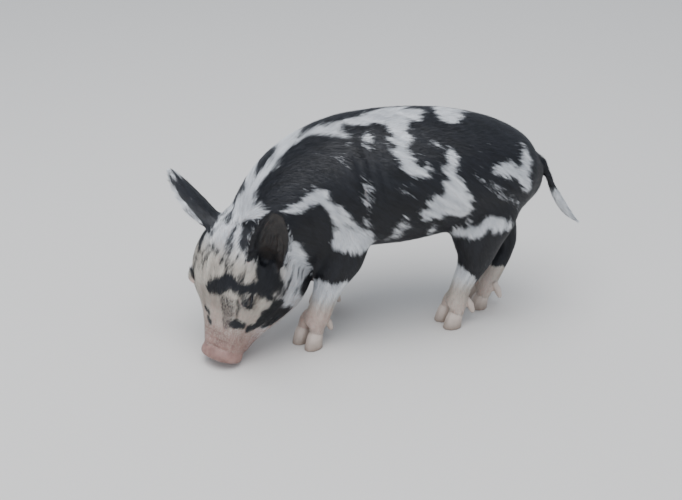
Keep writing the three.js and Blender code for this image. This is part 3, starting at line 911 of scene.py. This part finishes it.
# Skin of a young pig: soft, hairless at the snout, pink under white hair and slate under black.
# Its fine creases and pores give it a dull sheen.
def skinMaterial():
    material, tree, surface = newMaterial("pig skin", roughness=0.5)
    marking = addNode(tree, "ShaderNodeAttribute", {"attribute_name": "marking"})
    parts = addNode(tree, "ShaderNodeSeparateColor", links={0: marking.outputs["Color"]})
    spots = addNode(tree, "ShaderNodeTexCoord")
    mottle = addNode(tree, "ShaderNodeTexNoise", inputs={"Scale": 110, "Detail": 4},
                     links={"Vector": spots.outputs["Object"]})
    mottled = addNode(tree, "ShaderNodeMapRange", inputs={1: 0.35, 2: 0.65},
                      links={0: mottle.outputs["Fac"]})
    hairy = addNode(tree, "ShaderNodeMix", {"data_type": "RGBA"},
                    {6: hexColour("#c5a79b"), 7: hexColour("#dcc4b9")}, {0: mottled.outputs[0]})
    naked = addNode(tree, "ShaderNodeMix", {"data_type": "RGBA"},
                    {6: hexColour("#80625a"), 7: hexColour("#9e7d74")}, {0: mottled.outputs[0]})
    pink = addNode(tree, "ShaderNodeMix", {"data_type": "RGBA"}, links={
        0: parts.outputs["Green"], 6: hairy.outputs[2], 7: naked.outputs[2]})
    slate = addNode(tree, "ShaderNodeMix", {"data_type": "RGBA"},
                    {6: hexColour("#191a1e"), 7: hexColour("#282a30")}, {0: mottled.outputs[0]})
    # inside the ears: dark skin, made darker still with painted shade of the cupped hollow
    hollow = addNode(tree, "ShaderNodeMix", {"data_type": "RGBA"},
                     {6: hexColour("#120f0e"), 7: hexColour("#2c2521")}, {0: mottled.outputs[0]})
    dark = addNode(tree, "ShaderNodeMix", {"data_type": "RGBA"}, links={
        0: parts.outputs["Blue"], 6: slate.outputs[2], 7: hollow.outputs[2]})
    coloured = addNode(tree, "ShaderNodeMix", {"data_type": "RGBA"}, links={
        0: parts.outputs["Red"], 6: dark.outputs[2], 7: pink.outputs[2]})
    tree.links.new(coloured.outputs[2], surface.inputs["Base Color"])
    pores = addNode(tree, "ShaderNodeTexVoronoi", inputs={"Scale": 700},
                    links={"Vector": spots.outputs["Object"]})
    creases = addNode(tree, "ShaderNodeTexNoise", inputs={"Scale": 260, "Detail": 5, "Distortion": 0.6},
                      links={"Vector": spots.outputs["Object"]})
    fine = addNode(tree, "ShaderNodeBump", inputs={"Strength": 0.35, "Distance": 0.3 * mm},
                   links={"Height": pores.outputs["Distance"]})
    bump = addNode(tree, "ShaderNodeBump", inputs={"Strength": 0.3, "Distance": 0.4 * mm},
                   links={"Height": creases.outputs["Fac"], "Normal": fine.outputs["Normal"]})
    tree.links.new(bump.outputs["Normal"], surface.inputs["Normal"])
    surface.inputs["Subsurface Weight"].default_value = 0.12
    surface.inputs["Subsurface Radius"].default_value = (3 * mm, 1 * mm, 0.6 * mm)
    surface.inputs["Subsurface Scale"].default_value = 1.0
    return material


skinMesh.materials.append(skinMaterial())
skin = newObject("skin", skinMesh)
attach(skin, "root")
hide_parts(*fleshNames)
print("skin", len(skinMesh.polygons), "faces")


# Eyes: a ball under each pair of lids, turned a little down from the middle of the opening
eyeLook = {
    "irisAngle": 62,  # degrees round the ball from the middle of the iris to its edge
    "pupilWide": 19,  # the same for the pupil
    "pupilHigh": 14,
    "down": 5,  # degrees
}


def makeEye(sideName):
    centre, out, along, up = eyeAxes(sideName)
    down = math.radians(eyeLook["down"])
    look, lift = out * math.cos(down) - up * math.sin(down), up * math.cos(down) + out * math.sin(down)
    mesh = bpy.data.meshes.new("eyeball_" + sideName)
    work = bmesh.new()
    bmesh.ops.create_uvsphere(work, u_segments=64, v_segments=96, radius=1)
    work.to_mesh(mesh)
    work.free()
    ball = pointsOf(mesh)
    angle = np.degrees(np.arccos(np.clip(ball[:, 2], -1, 1)))
    turn = np.arctan2(ball[:, 1], ball[:, 0])
    radius = eyeRadius(sideName) - 0.15 * mm + 0.1 * mm * ramp(angle, eyeLook["irisAngle"], 20)
    placed = centre + (ball @ np.stack([along, lift, look])) * radius[:, None]
    mesh.vertices.foreach_set("co", placed.astype(np.float32).ravel())
    pupil = np.hypot(angle * np.cos(turn) / eyeLook["pupilWide"],
                     angle * np.sin(turn) / eyeLook["pupilHigh"])
    streak = noise(np.stack([turn * 9, 0 * turn, 0 * turn], axis=1), 21)
    brown = ramp(pupil, 0.9, 1.15)
    white = ramp(angle + 2 * streak, eyeLook["irisAngle"] - 2, eyeLook["irisAngle"] + 4)
    edgeShade = ramp(angle, eyeLook["irisAngle"] - 12, eyeLook["irisAngle"])
    paint(mesh, "iris", np.stack([brown * (1 - 0.6 * edgeShade), white, 0.5 + 0.5 * streak], axis=1))
    mesh.shade_smooth()
    mesh.materials.append(eyeMaterial)
    eye = newObject("eyeball_" + sideName, mesh)
    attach(eye, "root")
    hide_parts("eye_" + sideName)


# The wet cornea over a dark brown iris: a clear smooth film, so it mirrors the lights sharply.
def wetEye():
    material, tree, surface = newMaterial("eye", roughness=0.12, ior=1.38)
    iris = addNode(tree, "ShaderNodeAttribute", {"attribute_name": "iris"})
    parts = addNode(tree, "ShaderNodeSeparateColor", links={0: iris.outputs["Color"]})
    browns = addNode(tree, "ShaderNodeMix", {"data_type": "RGBA"},
                     {6: hexColour("#1d120b"), 7: hexColour("#382416")}, {0: parts.outputs["Blue"]})
    front = addNode(tree, "ShaderNodeMix", {"data_type": "RGBA"}, {6: hexColour("#050404")},
                    {0: parts.outputs["Red"], 7: browns.outputs[2]})
    ball = addNode(tree, "ShaderNodeMix", {"data_type": "RGBA"}, {7: hexColour("#7d6a60")},
                   {0: parts.outputs["Green"], 6: front.outputs[2]})
    tree.links.new(ball.outputs[2], surface.inputs["Base Color"])
    surface.inputs["Coat Weight"].default_value = 1.0
    surface.inputs["Coat Roughness"].default_value = 0.03
    return material


eyeMaterial = wetEye()
for sideName in sideNames:
    makeEye(sideName)


# Hooves and dewclaws, each from its own solid, with its edges worn round
horn = {"step": 0.7 * mm, "blur": 0.7 * mm, "reach": 6}


def makeHorn(name):
    grid = openvdb.createLinearTransform(voxelSize=horn["step"])
    solid, triangles = nodeMesh(name)
    low = np.floor(solid.min(axis=0) / horn["step"]).astype(int) - horn["reach"]
    high = np.ceil(solid.max(axis=0) / horn["step"]).astype(int) + horn["reach"]
    values = np.zeros(high - low, np.float32)
    levelSet(solid, triangles, reach=horn["reach"], grid=grid).copyToArray(values, ijk=tuple(low.tolist()))
    values = blurred(values, horn["blur"], horn["step"])
    shape, quads = polygons(values, 0, low, grid)
    shape[:, 2] = np.maximum(shape[:, 2], 0)
    mesh = meshFrom(name + "_horn", shape, quads)
    mesh.shade_smooth()
    mesh.materials.append(hornMaterial)
    piece = newObject(name + "_horn", mesh)
    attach(piece, "root")
    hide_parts(name)


# Young pig's horn: grown in fine rings and worn by soil, so it is pale and dull, and dirty low down.
def paleHorn():
    material, tree, surface = newMaterial("hoof horn", roughness=0.5, ior=1.55)
    spots = addNode(tree, "ShaderNodeTexCoord")
    place = addNode(tree, "ShaderNodeSeparateXYZ", links={0: spots.outputs["Object"]})
    height = addNode(tree, "ShaderNodeMapRange", inputs={1: 1 * mm, 2: 17 * mm},
                     links={0: place.outputs[2]})
    dirt = addNode(tree, "ShaderNodeTexNoise", inputs={"Scale": 160, "Detail": 4},
                   links={"Vector": spots.outputs["Object"]})
    wornHeight = addNode(tree, "ShaderNodeMath", {"operation": "MULTIPLY_ADD"}, {1: 0.55},
                         {0: dirt.outputs["Fac"], 2: height.outputs[0]})
    faded = addNode(tree, "ShaderNodeMapRange", inputs={1: 0.25, 2: 1.1}, links={0: wornHeight.outputs[0]})
    coloured = addNode(tree, "ShaderNodeMix", {"data_type": "RGBA"},
                       {6: hexColour("#8f8074"), 7: hexColour("#c6b7ab")}, {0: faded.outputs[0]})
    tree.links.new(coloured.outputs[2], surface.inputs["Base Color"])
    rings = addNode(tree, "ShaderNodeTexWave", {"bands_direction": "Z"},
                    {"Scale": 190, "Distortion": 1.5, "Detail": 2}, {"Vector": spots.outputs["Object"]})
    bump = addNode(tree, "ShaderNodeBump", inputs={"Strength": 0.3, "Distance": 0.2 * mm},
                   links={"Height": rings.outputs["Fac"]})
    tree.links.new(bump.outputs["Normal"], surface.inputs["Normal"])
    return material


hornMaterial = paleHorn()
for name in hornNames:
    makeHorn(name)
print("eyes and hooves")


# Lie of the coat: backwards from the snout, back and down over the body, down the legs
def lieOfCoat():
    x = points[:, 0]
    toWithers = unit(trunkPlace(0.12, 0.48, 0.5) - fromHead((-60 * mm, 0, 0)))
    turn = ramp(x, trunkPlace(0.15, 0, 0)[0], trunkPlace(-0.1, 0, 0)[0])[:, None]
    backwards = unit(-forward * (1 - turn) + toWithers * turn)
    sideways = np.abs(np.sin(np.radians(bodyAround)))[:, None]
    lie = backwards - skyward * (0.15 + 0.7 * sideways)
    outwards = np.sign(inHead(points)[:, 1:2]) * aside
    lie[inFace] = (-ahead + 0.28 * outwards - 0.1 * above)[inFace]
    for name in legNames:
        leg = ownedBy(name)
        low = ramp(points[:, 2], 110 * mm, 70 * mm)[:, None]
        back = 0.25 if name.startswith("fore") else 0.55
        lie[leg] = (-skyward - forward * back * (1 - low))[leg]
    for name in earNames:
        lie[ownedBy(name)] = earAxes(name)[0]
    lie[ownedBy("tail")] = unit(-skyward - 0.5 * forward)
    lie = spread(unit(lie), edges, 16)
    lie -= normals * (lie * normals).sum(axis=1, keepdims=True)
    return unit(lie)


lie = lieOfCoat()

# The coat, in mm: how long a tuft is and how wide at its root, how many grow on a square mm, and
# how high the tips stand over the skin
coatPlan = {
    "trunk": {"long": 9, "wide": 0.42, "dense": 2.0, "high": 2.9},
    "neck": {"long": 10, "wide": 0.42, "dense": 2.0, "high": 3.0},
    "head": {"long": 7, "wide": 0.36, "dense": 2.0, "high": 1.7},
    "lower_jaw": {"long": 6, "wide": 0.34, "dense": 1.6, "high": 1.5},
    "snout_disc": {"long": 1.6, "wide": 0.2, "dense": 0.1, "high": 0.4},
    "ear_left": {"long": 5, "wide": 0.3, "dense": 1.8, "high": 0.7},
    "ear_right": {"long": 5, "wide": 0.3, "dense": 1.8, "high": 0.7},
    "tail": {"long": 11, "wide": 0.4, "dense": 3.0, "high": 2.2},
    "foreleg_left": {"long": 7, "wide": 0.4, "dense": 2.2, "high": 2.1},
    "foreleg_right": {"long": 7, "wide": 0.4, "dense": 2.2, "high": 2.1},
    "hindleg_left": {"long": 8, "wide": 0.4, "dense": 2.2, "high": 2.2},
    "hindleg_right": {"long": 8, "wide": 0.4, "dense": 2.2, "high": 2.2},
}
coat = {key: spread(np.array([coatPlan.get(n, coatPlan["foreleg_left"])[key] for n in skinNames])[owners],
                    edges, 10) for key in ("long", "wide", "dense", "high")}
lowLeg = ramp(points[:, 2], 95 * mm, 35 * mm) * (onLeg > 0.5)
coat["long"] *= 1 - 0.6 * lowLeg
coat["high"] *= 1 - 0.62 * lowLeg
coat["wide"] *= 1 - 0.25 * lowLeg
coat["dense"] *= 1 - np.where(onForeleg, 0.64, 0.4) * lowFoot * onLeg * (onLeg > 0.5)
muzzleShare = ramp(headAlong, -5 * mm, 66 * mm) * onHead
coat["long"] *= 1 - 0.7 * muzzleShare
coat["high"] *= 1 - 0.75 * muzzleShare
coat["wide"] *= 1 - 0.4 * muzzleShare
coat["dense"] *= 1 - 0.6 * ramp(headAlong, 35 * mm, 70 * mm) * onHead
coat["dense"] *= 1 - 0.8 * innerEar
coat["high"] *= 1 + 2.2 * earRim * (1 - innerEar)
coat["long"] *= 1 + 0.5 * earRim
mane = ramp(np.abs(bodyAround), 38, 12) * ramp(bodyAlong, 190 * mm, 240 * mm) * (1 - onHead)
coat["long"] *= 1 + 0.5 * mane
coat["high"] *= 1 + 0.25 * mane
underside = ramp(np.abs(bodyAround), 125, 155) * ownedBy("trunk")
coat["dense"] *= 1 - 0.4 * underside
brush = ramp(points[:, 2], 142 * mm, 128 * mm) * onTail
coat["long"] *= 1 + 1.1 * brush

# Locks: hairs that lie together share a shade, and an edge between colours runs out along them
onLimb = (onLeg + onTail) > 0.5
chartAlong = np.where(onHead > 0.5, headAlong, np.where(onLimb, limbAlong, bodyAlong))
chartTurn = np.where(onHead > 0.5, headAround, np.where(onLimb, limbAround, bodyAround))
chartRadius = np.where(onLimb, meanRadius["limb"], meanRadius["body"])
chartRadius = np.where(onHead > 0.5, meanRadius["head"], chartRadius)
chartArc = np.abs(np.radians(chartTurn)) * chartRadius
lockSize = {"long": 13 * mm, "wide": 1.8 * mm, "lean": 34}  # degrees down, on the body
lean = np.radians(lockSize["lean"]) * inBody
lockPlace = np.stack([(chartAlong * np.cos(lean) - chartArc * np.sin(lean)) / lockSize["long"],
                      (chartAlong * np.sin(lean) + chartArc * np.cos(lean)) / lockSize["wide"],
                      10.0 * (onHead > 0.5) + 20.0 * onLimb], axis=1)
cream = onHead * ramp(headAlong, -50 * mm, -20 * mm) * ramp(np.abs(headAround), 100, 65)
cream = np.maximum(cream, onLeg * ramp(points[:, 2], 75 * mm, 45 * mm))
lock = noise(lockPlace, 13)
wideLock = noise(lockPlace * (0.6, 0.4, 1), 14)


# A tuft shows its colour behind its root, so the root takes the marking of a place farther on
skinTree = KDTree(len(points))
for index, place in enumerate(points.tolist()):
    skinTree.insert(place, index)
skinTree.balance()
shown = points + lie * (coat["long"] * 0.6 * mm)[:, None]
coatWhite = white[[skinTree.find(p)[1] for p in shown.tolist()]]


def slitClear(places):
    # no hair grows on the eyeball or on the edges of the lids
    clear = np.ones(len(places), bool)
    for sideName in sideNames:
        centre, _, along, up = eyeAxes(sideName)
        local = places - centre
        close = np.linalg.norm(local, axis=1) < 14 * mm
        clear &= ~(close & (slitDistance(local @ along, local @ up) < 1.0 * mm))
    return clear


# Pig's bristle: solid keratin, smooth and a little waxy, so it shines softly along the lie. Black
# ones look blue-grey where they catch the light. White ones are cream on the face and low on the
# legs.
def bristleMaterial():
    material, tree, surface = newMaterial("pig bristle", roughness=0.45, ior=1.55)
    coatColour = addNode(tree, "ShaderNodeAttribute", {"attribute_name": "coat"})
    parts = addNode(tree, "ShaderNodeSeparateColor", links={0: coatColour.outputs["Color"]})
    black = addNode(tree, "ShaderNodeMix", {"data_type": "RGBA"},
                    {6: hexColour("#0e0f13"), 7: hexColour("#23252c")}, {0: parts.outputs["Green"]})
    cool = addNode(tree, "ShaderNodeMix", {"data_type": "RGBA"},
                   {6: hexColour("#b3b7bc"), 7: hexColour("#fbfcfd")}, {0: parts.outputs["Green"]})
    cream = addNode(tree, "ShaderNodeMix", {"data_type": "RGBA"},
                    {6: hexColour("#9a9287"), 7: hexColour("#dcd6c9")}, {0: parts.outputs["Green"]})
    pale = addNode(tree, "ShaderNodeMix", {"data_type": "RGBA"}, links={
        0: parts.outputs["Blue"], 6: cool.outputs[2], 7: cream.outputs[2]})
    coloured = addNode(tree, "ShaderNodeMix", {"data_type": "RGBA"}, links={
        0: parts.outputs["Red"], 6: black.outputs[2], 7: pale.outputs[2]})
    tree.links.new(coloured.outputs[2], surface.inputs["Base Color"])
    surface.inputs["Specular IOR Level"].default_value = 0.38
    return material


hairMaterial = bristleMaterial()


def addHairs(name, corners, faces, uvs, colours, facing):
    # one piece of the coat, from arrays with a row to each hair
    faces = faces.reshape(-1, 3)
    mesh = bpy.data.meshes.new(name)
    mesh.vertices.add(corners.size // 3)
    mesh.vertices.foreach_set("co", corners.astype(np.float32).ravel())
    mesh.loops.add(faces.size)
    mesh.loops.foreach_set("vertex_index", faces.astype(np.int32).ravel())
    mesh.polygons.add(len(faces))
    mesh.polygons.foreach_set("loop_start", np.arange(0, faces.size, 3, dtype=np.int32))
    mesh.update(calc_edges=True)
    paint(mesh, "coat", colours.reshape(-1, 3))
    layer = mesh.uv_layers.new(name="OFBake")
    layer.uv.foreach_set("vector", uvs.reshape(-1, 2)[faces.ravel()].astype(np.float32).ravel())
    mesh.shade_smooth()
    mesh.normals_split_custom_set_from_vertices(facing.reshape(-1, 3).astype(np.float32))
    mesh.materials.append(hairMaterial)
    piece = newObject(name, mesh)
    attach(piece, "root")


def flattened(places):
    # fills the unwrap with places on a plane
    low, high = places.min(axis=0), places.max(axis=0)
    return 0.005 + 0.99 * (places - low) / (high - low)


skinMesh.calc_loop_triangles()
triangleIds = np.zeros(len(skinMesh.loop_triangles) * 3, np.int32)
skinMesh.loop_triangles.foreach_get("vertices", triangleIds)
triangleIds = triangleIds.reshape(-1, 3)
# A tuft is two faces from its root to where it bends, and one more to its tip
tuft = {
    "most": 65000,  # in one piece
    "rootDeep": 0.25 * mm,  # how far it starts inside the skin
    "floorGap": 0.4 * mm,
    "swirl": 0.16,  # radians that neighbours turn together, over places so far apart
    "swirlSize": 16 * mm,
    "stray": 0.09,  # radians that each turns on its own
    "spread": 0.06,  # how far it strays sideways, as a share of its length
    "twist": 0.25,  # radians that it turns about its length
    "bend": (0.5, 0.62),  # where it bends, as shares of its length and height
    "onUnwrap": 0.003,  # its size there
}
tuftFaces = [(0, 3, 1), (0, 2, 3), (2, 4, 3)]
tuftUv = np.array([(-0.5, -0.5), (0.5, -0.5), (-0.4, 0), (0.4, 0), (0, 0.5)]) * tuft["onUnwrap"]


def growCoat(name, chosen, unwrap):
    triangles = triangleIds[chosen[triangleIds].sum(axis=1) >= 2]
    a, b, c = (points[triangles[:, k]] for k in range(3))
    area = np.linalg.norm(np.cross(b - a, c - a), axis=1) / 2 / mm ** 2
    weight = area * coat["dense"][triangles].mean(axis=1)
    count = int(min(weight.sum(), tuft["most"]) * (1))
    picks = (np.arange(count) + draws.random(count)) / count * weight.sum()
    triangle = triangles[np.clip(np.searchsorted(np.cumsum(weight), picks), 0, len(triangles) - 1)]
    u, v = draws.random(count), draws.random(count)
    flip = u + v > 1
    u, v = np.where(flip, 1 - u, u), np.where(flip, 1 - v, v)
    shares = np.stack([1 - u - v, u, v], axis=1)

    def at(values):
        return np.einsum("nk,nk...->n...", shares, values[triangle])

    roots, out, down = at(points), unit(at(normals)), at(lie)
    down = unit(down - out * (down * out).sum(axis=1, keepdims=True))
    across = np.cross(out, down)
    swirl = tuft["swirl"] * noise(roots / tuft["swirlSize"], 11) + tuft["stray"] * draws.normal(size=count)
    down = down * np.cos(swirl)[:, None] + across * np.sin(swirl)[:, None]
    across = np.cross(out, down)
    length = at(coat["long"]) * mm * (0.65 + 0.6 * draws.random(count))
    wide = at(coat["wide"]) * mm * (0.7 + 0.6 * draws.random(count))
    high = at(coat["high"]) * mm * (0.45 + 0.55 * draws.random(count))
    base = sample(body, roots)

    def lifted(share, height):
        place = roots + down * (length * share)[:, None]
        place += across * (length * tuft["spread"] * draws.normal(size=count) * share)[:, None]
        return place + slopeOf(body, place) * (height - sample(body, place) + base)[:, None]

    bendShare, bendHigh = tuft["bend"]
    bend, tip = lifted(bendShare, high * bendHigh), lifted(1, high)
    twist = tuft["twist"] * draws.normal(size=count)
    edge = across * np.cos(twist)[:, None] + out * np.sin(twist)[:, None]
    half = edge * (wide / 2)[:, None]
    start = roots - out * tuft["rootDeep"]
    corners = np.stack([start - half, start + half, bend - half * 0.8, bend + half * 0.8, tip], axis=1)
    inBox = (corners > np.array(cadBox[0])) & (corners < np.array(cadBox[1]))
    clear = slitClear(roots) & (corners[:, :, 2].min(axis=1) > tuft["floorGap"])
    keep = clear & inBox.all(axis=(1, 2))
    uvs = np.clip(flattened(unwrap(at))[:, None, :] + tuftUv, 0, 1)
    share = at(coatWhite)
    edgeShift = (0.5 * at(lock) + 0.3 * at(wideLock)) * (1 - 0.75 * np.abs(2 * share - 1))
    share += edgeShift * (1 - 0.5 * at(onHead) - 0.6 * at(mixed))
    isWhite = ramp(share + (0.12 + 0.2 * at(mixed)) * draws.normal(size=count), 0.36, 0.64)
    tone = np.clip(0.5 + 0.25 * at(lock) + 0.25 * at(wideLock) + 0.16 * draws.normal(size=count), 0, 1)
    colours = np.repeat(np.stack([isWhite, tone, at(cream)], axis=1)[:, None], 5, axis=1)
    facing = unit(0.35 * slopeOf(body, bend) + out + 0.15 * draws.normal(size=(count, 3)))
    facing = np.repeat(facing[:, None], 5, axis=1)
    kept = int(keep.sum())
    faces = np.array(tuftFaces) + 5 * np.arange(kept)[:, None, None]
    addHairs(name, corners[keep], faces, uvs[keep], colours[keep], facing[keep])
    print(name, kept, "tufts of", round(float(weight.sum())))


# Each part's own unwrap: along it and round it, with its ends laid flat. Ears lie as two leaves.
def roundAt(at, degrees):
    # the angles in between, also where they jump from 180 to -180
    return np.degrees(np.arctan2(at(np.sin(np.radians(degrees))), at(np.cos(np.radians(degrees)))))


def unrolled(axial, radius, low, high, capRadius):
    inwards = np.clip(capRadius - radius, 0, capRadius)
    axial = axial - inwards * ramp(axial, low + 30 * mm, low)
    return axial + inwards * ramp(axial, high - 30 * mm, high)


def flatBody(at):
    axial = unrolled(at(bodyAlong), at(bodyRadius), 0, 1, 60 * mm)
    return np.stack([axial, roundAt(at, bodyAround)], axis=1)


def flatHead(at):
    axial = unrolled(at(headAlong), at(headRadius), -1, 82 * mm, 24 * mm)
    return np.stack([axial, roundAt(at, headAround)], axis=1)


def flatLimb(at):
    return np.stack([at(limbAlong), roundAt(at, limbAround)], axis=1)


def flatEar(name, at):
    along, hollow, across = earAxes(name)
    leaf = np.where(at(normals) @ hollow > 0, 70 * mm, 0)
    return np.stack([at(points) @ along, at(points) @ across + leaf], axis=1)


# Lashes and bristles: long stiff hairs, each a tapering blade of three sides. Three rings of three
# points lie at bladeSteps of its length, and its tip is the tenth point.
bladeSteps = np.array([0, 0.35, 0.7])
bladeTurns = np.radians([90, 210, 330])
bladeFaces = [(r + k, r + (k + 1) % 3, r + 3 + (k + 1) % 3) for r in (0, 3) for k in range(3)]
bladeFaces += [(r + k, r + 3 + (k + 1) % 3, r + 3 + k) for r in (0, 3) for k in range(3)]
bladeFaces += [(6 + k, 6 + (k + 1) % 3, 9) for k in range(3)]


def growBristles(name, starts, ways, bends, lengths, thick, isWhite):
    count = len(starts)
    t = bladeSteps[None, :, None]
    middles = starts[:, None] + (ways[:, None] * t + bends[:, None] * t ** 2) * lengths[:, None, None]
    tips = starts + (ways + bends) * lengths[:, None]
    across = unit(np.cross(ways, bends + 1e-3))
    other = unit(np.cross(ways, across))
    rings = np.stack([across * math.cos(a) + other * math.sin(a) for a in bladeTurns], axis=1)
    size = (1 - 0.75 * bladeSteps)[None, :, None, None] * thick / 2
    corners = middles[:, :, None] + rings[:, None] * size
    corners = np.concatenate([corners.reshape(count, 9, 3), tips[:, None]], axis=1)
    faces = np.array(bladeFaces) + 10 * np.arange(count)[:, None, None]
    around = np.tile(rings[:, None], (1, 3, 1, 1)).reshape(count, 9, 3)
    facing = np.concatenate([around, ways[:, None]], axis=1)
    offsets = [(0.5 * math.cos(a), y) for y in (-0.5, -0.15, 0.2) for a in bladeTurns]
    offsets = np.array([*offsets, (0, 0.5)]) * tuft["onUnwrap"]
    flat = flattened(np.stack([starts @ ahead, starts @ aside], axis=1))
    uvs = np.clip(flat[:, None] + offsets, 0, 1)
    colours = np.repeat(np.stack([isWhite, np.full(count, 0.3), np.ones(count)], 1)[:, None], 10, axis=1)
    addHairs(name, corners, faces, uvs, colours, facing)


# How many grow at an eye or on the jaws, and how long: the shortest, and how much more at most
lashes = {"count": 34, "long": (4 * mm, 2.5 * mm), "thick": 0.16 * mm}
bristles = {"count": 90, "long": (3 * mm, 4 * mm), "thick": 0.14 * mm}


def growLashes(sideName):
    centre, out, along, up = eyeAxes(sideName)
    local = (points - centre) @ np.stack([along, up, out], axis=1)
    fromSlit = slitDistance(local[:, 0], local[:, 1])
    edge = nearEye(points, 14 * mm) & (np.abs(fromSlit - 0.9 * mm) < 0.5 * mm) & (local[:, 2] > 0)
    edge &= (local[:, 1] > lids["cornersUp"] - 1.4 * mm) & (np.abs(local[:, 0]) < 6.5 * mm)
    upper = np.flatnonzero(edge)
    count, (shortest, longer) = lashes["count"], lashes["long"]
    chosen = draws.choice(upper, count)
    sweep = (local[chosen, :1] / (9 * mm)) * along
    ways = unit(out + 0.35 * up + sweep + 0.12 * draws.normal(size=(count, 3)))
    bends = np.tile(0.5 * up - 0.25 * out, (count, 1))
    growBristles("coat_lashes_" + sideName, points[chosen], ways, bends,
                 shortest + longer * draws.random(count), lashes["thick"], np.zeros(count))


def growJawBristles():
    bristled = ownedBy("head", "lower_jaw") & (headAlong > 20 * mm) & (headAlong < 72 * mm)
    bristled &= (np.abs(headAround) > 45) & (points[:, 2] > 8 * mm)
    count, (shortest, longer) = bristles["count"], bristles["long"]
    chosen = draws.choice(np.flatnonzero(bristled), count)
    ways, bends = unit(normals[chosen] + 0.7 * lie[chosen]), 0.4 * lie[chosen]
    lengths = shortest + longer * draws.random(count)
    isWhite = (draws.random(count) > 0.3).astype(float)
    growBristles("coat_bristles", points[chosen], ways, bends, lengths, bristles["thick"], isWhite)


for sideName in sideNames:
    growLashes(sideName)
growJawBristles()

leftSide = bodyAround > 0
growCoat("coat_trunk_left", ownedBy("trunk") & leftSide, flatBody)
growCoat("coat_trunk_right", ownedBy("trunk") & ~leftSide, flatBody)
growCoat("coat_neck", ownedBy("neck"), flatBody)
growCoat("coat_head", inFace, flatHead)
for name in (*legNames, "tail"):
    growCoat("coat_" + name, ownedBy(name), flatLimb)
for name in earNames:
    growCoat("coat_" + name, ownedBy(name), lambda at, name=name: flatEar(name, at))


# Floor, light and camera
studio = {
    "floorRadius": 6.0,
    "floorColour": "#d9d6d1",
    "skyColour": "#e2eaf6",
    "skyStrength": 0.95,
    "azimuth": -10,  # degrees round from the pig's left side
    "elevation": 27,
    "distance": 1.15,
    "aim": (-0.04495, 0.02042, 0.0895),
    "lens": 56.2,
    # each lamp: where it hangs, its size, watts and colour
    "lamps": {
        "overhead": ((-0.3, -0.5, 2.2), 1.8, 50, "#fdfdff"),
        "fill": ((-1.8, -1.6, 0.9), 1.5, 9, "#eef3ff"),
    },
    "lampAim": (0, 0, 0.1),
}


def makeFloor():
    work = bmesh.new()
    bmesh.ops.create_circle(work, cap_ends=True, radius=studio["floorRadius"], segments=96)
    mesh = bpy.data.meshes.new("floor")
    work.to_mesh(mesh)
    work.free()
    floor = newObject("floor", mesh)
    floorPaint, _, surface = newMaterial("floor paint", roughness=0.9)
    surface.inputs["Base Color"].default_value = hexColour(studio["floorColour"])
    mesh.materials.append(floorPaint)


def makeLamp(name, place, size, watts, colour):
    light = bpy.data.lights.new(name, "AREA")
    light.size = size
    light.energy = watts
    light.color = hexColour(colour)[:3]
    lamp = newObject(name, light)
    lamp.location = place
    lamp.rotation_euler = (Vector(studio["lampAim"]) - Vector(place)).to_track_quat("-Z", "Y").to_euler()


def makeCamera():
    turn, tilt = math.radians(studio["azimuth"]), math.radians(studio["elevation"])
    back = Vector((math.sin(turn) * math.cos(tilt), -math.cos(turn) * math.cos(tilt), math.sin(tilt)))
    camera = newObject("camera", bpy.data.cameras.new("camera"))
    camera.data.lens = studio["lens"]
    camera.data.clip_end = 50
    camera.location = Vector(studio["aim"]) + back * studio["distance"]
    camera.rotation_euler = (-back).to_track_quat("-Z", "Y").to_euler()
    bpy.context.scene.camera = camera


def makeSky():
    world = bpy.data.worlds.new("studio")
    world.use_nodes = True
    sky = world.node_tree.nodes["Background"]
    sky.inputs["Color"].default_value = hexColour(studio["skyColour"])
    sky.inputs["Strength"].default_value = studio["skyStrength"]
    bpy.context.scene.world = world


makeFloor()
makeSky()
for lampName, lamp in studio["lamps"].items():
    makeLamp(lampName, *lamp)
makeCamera()
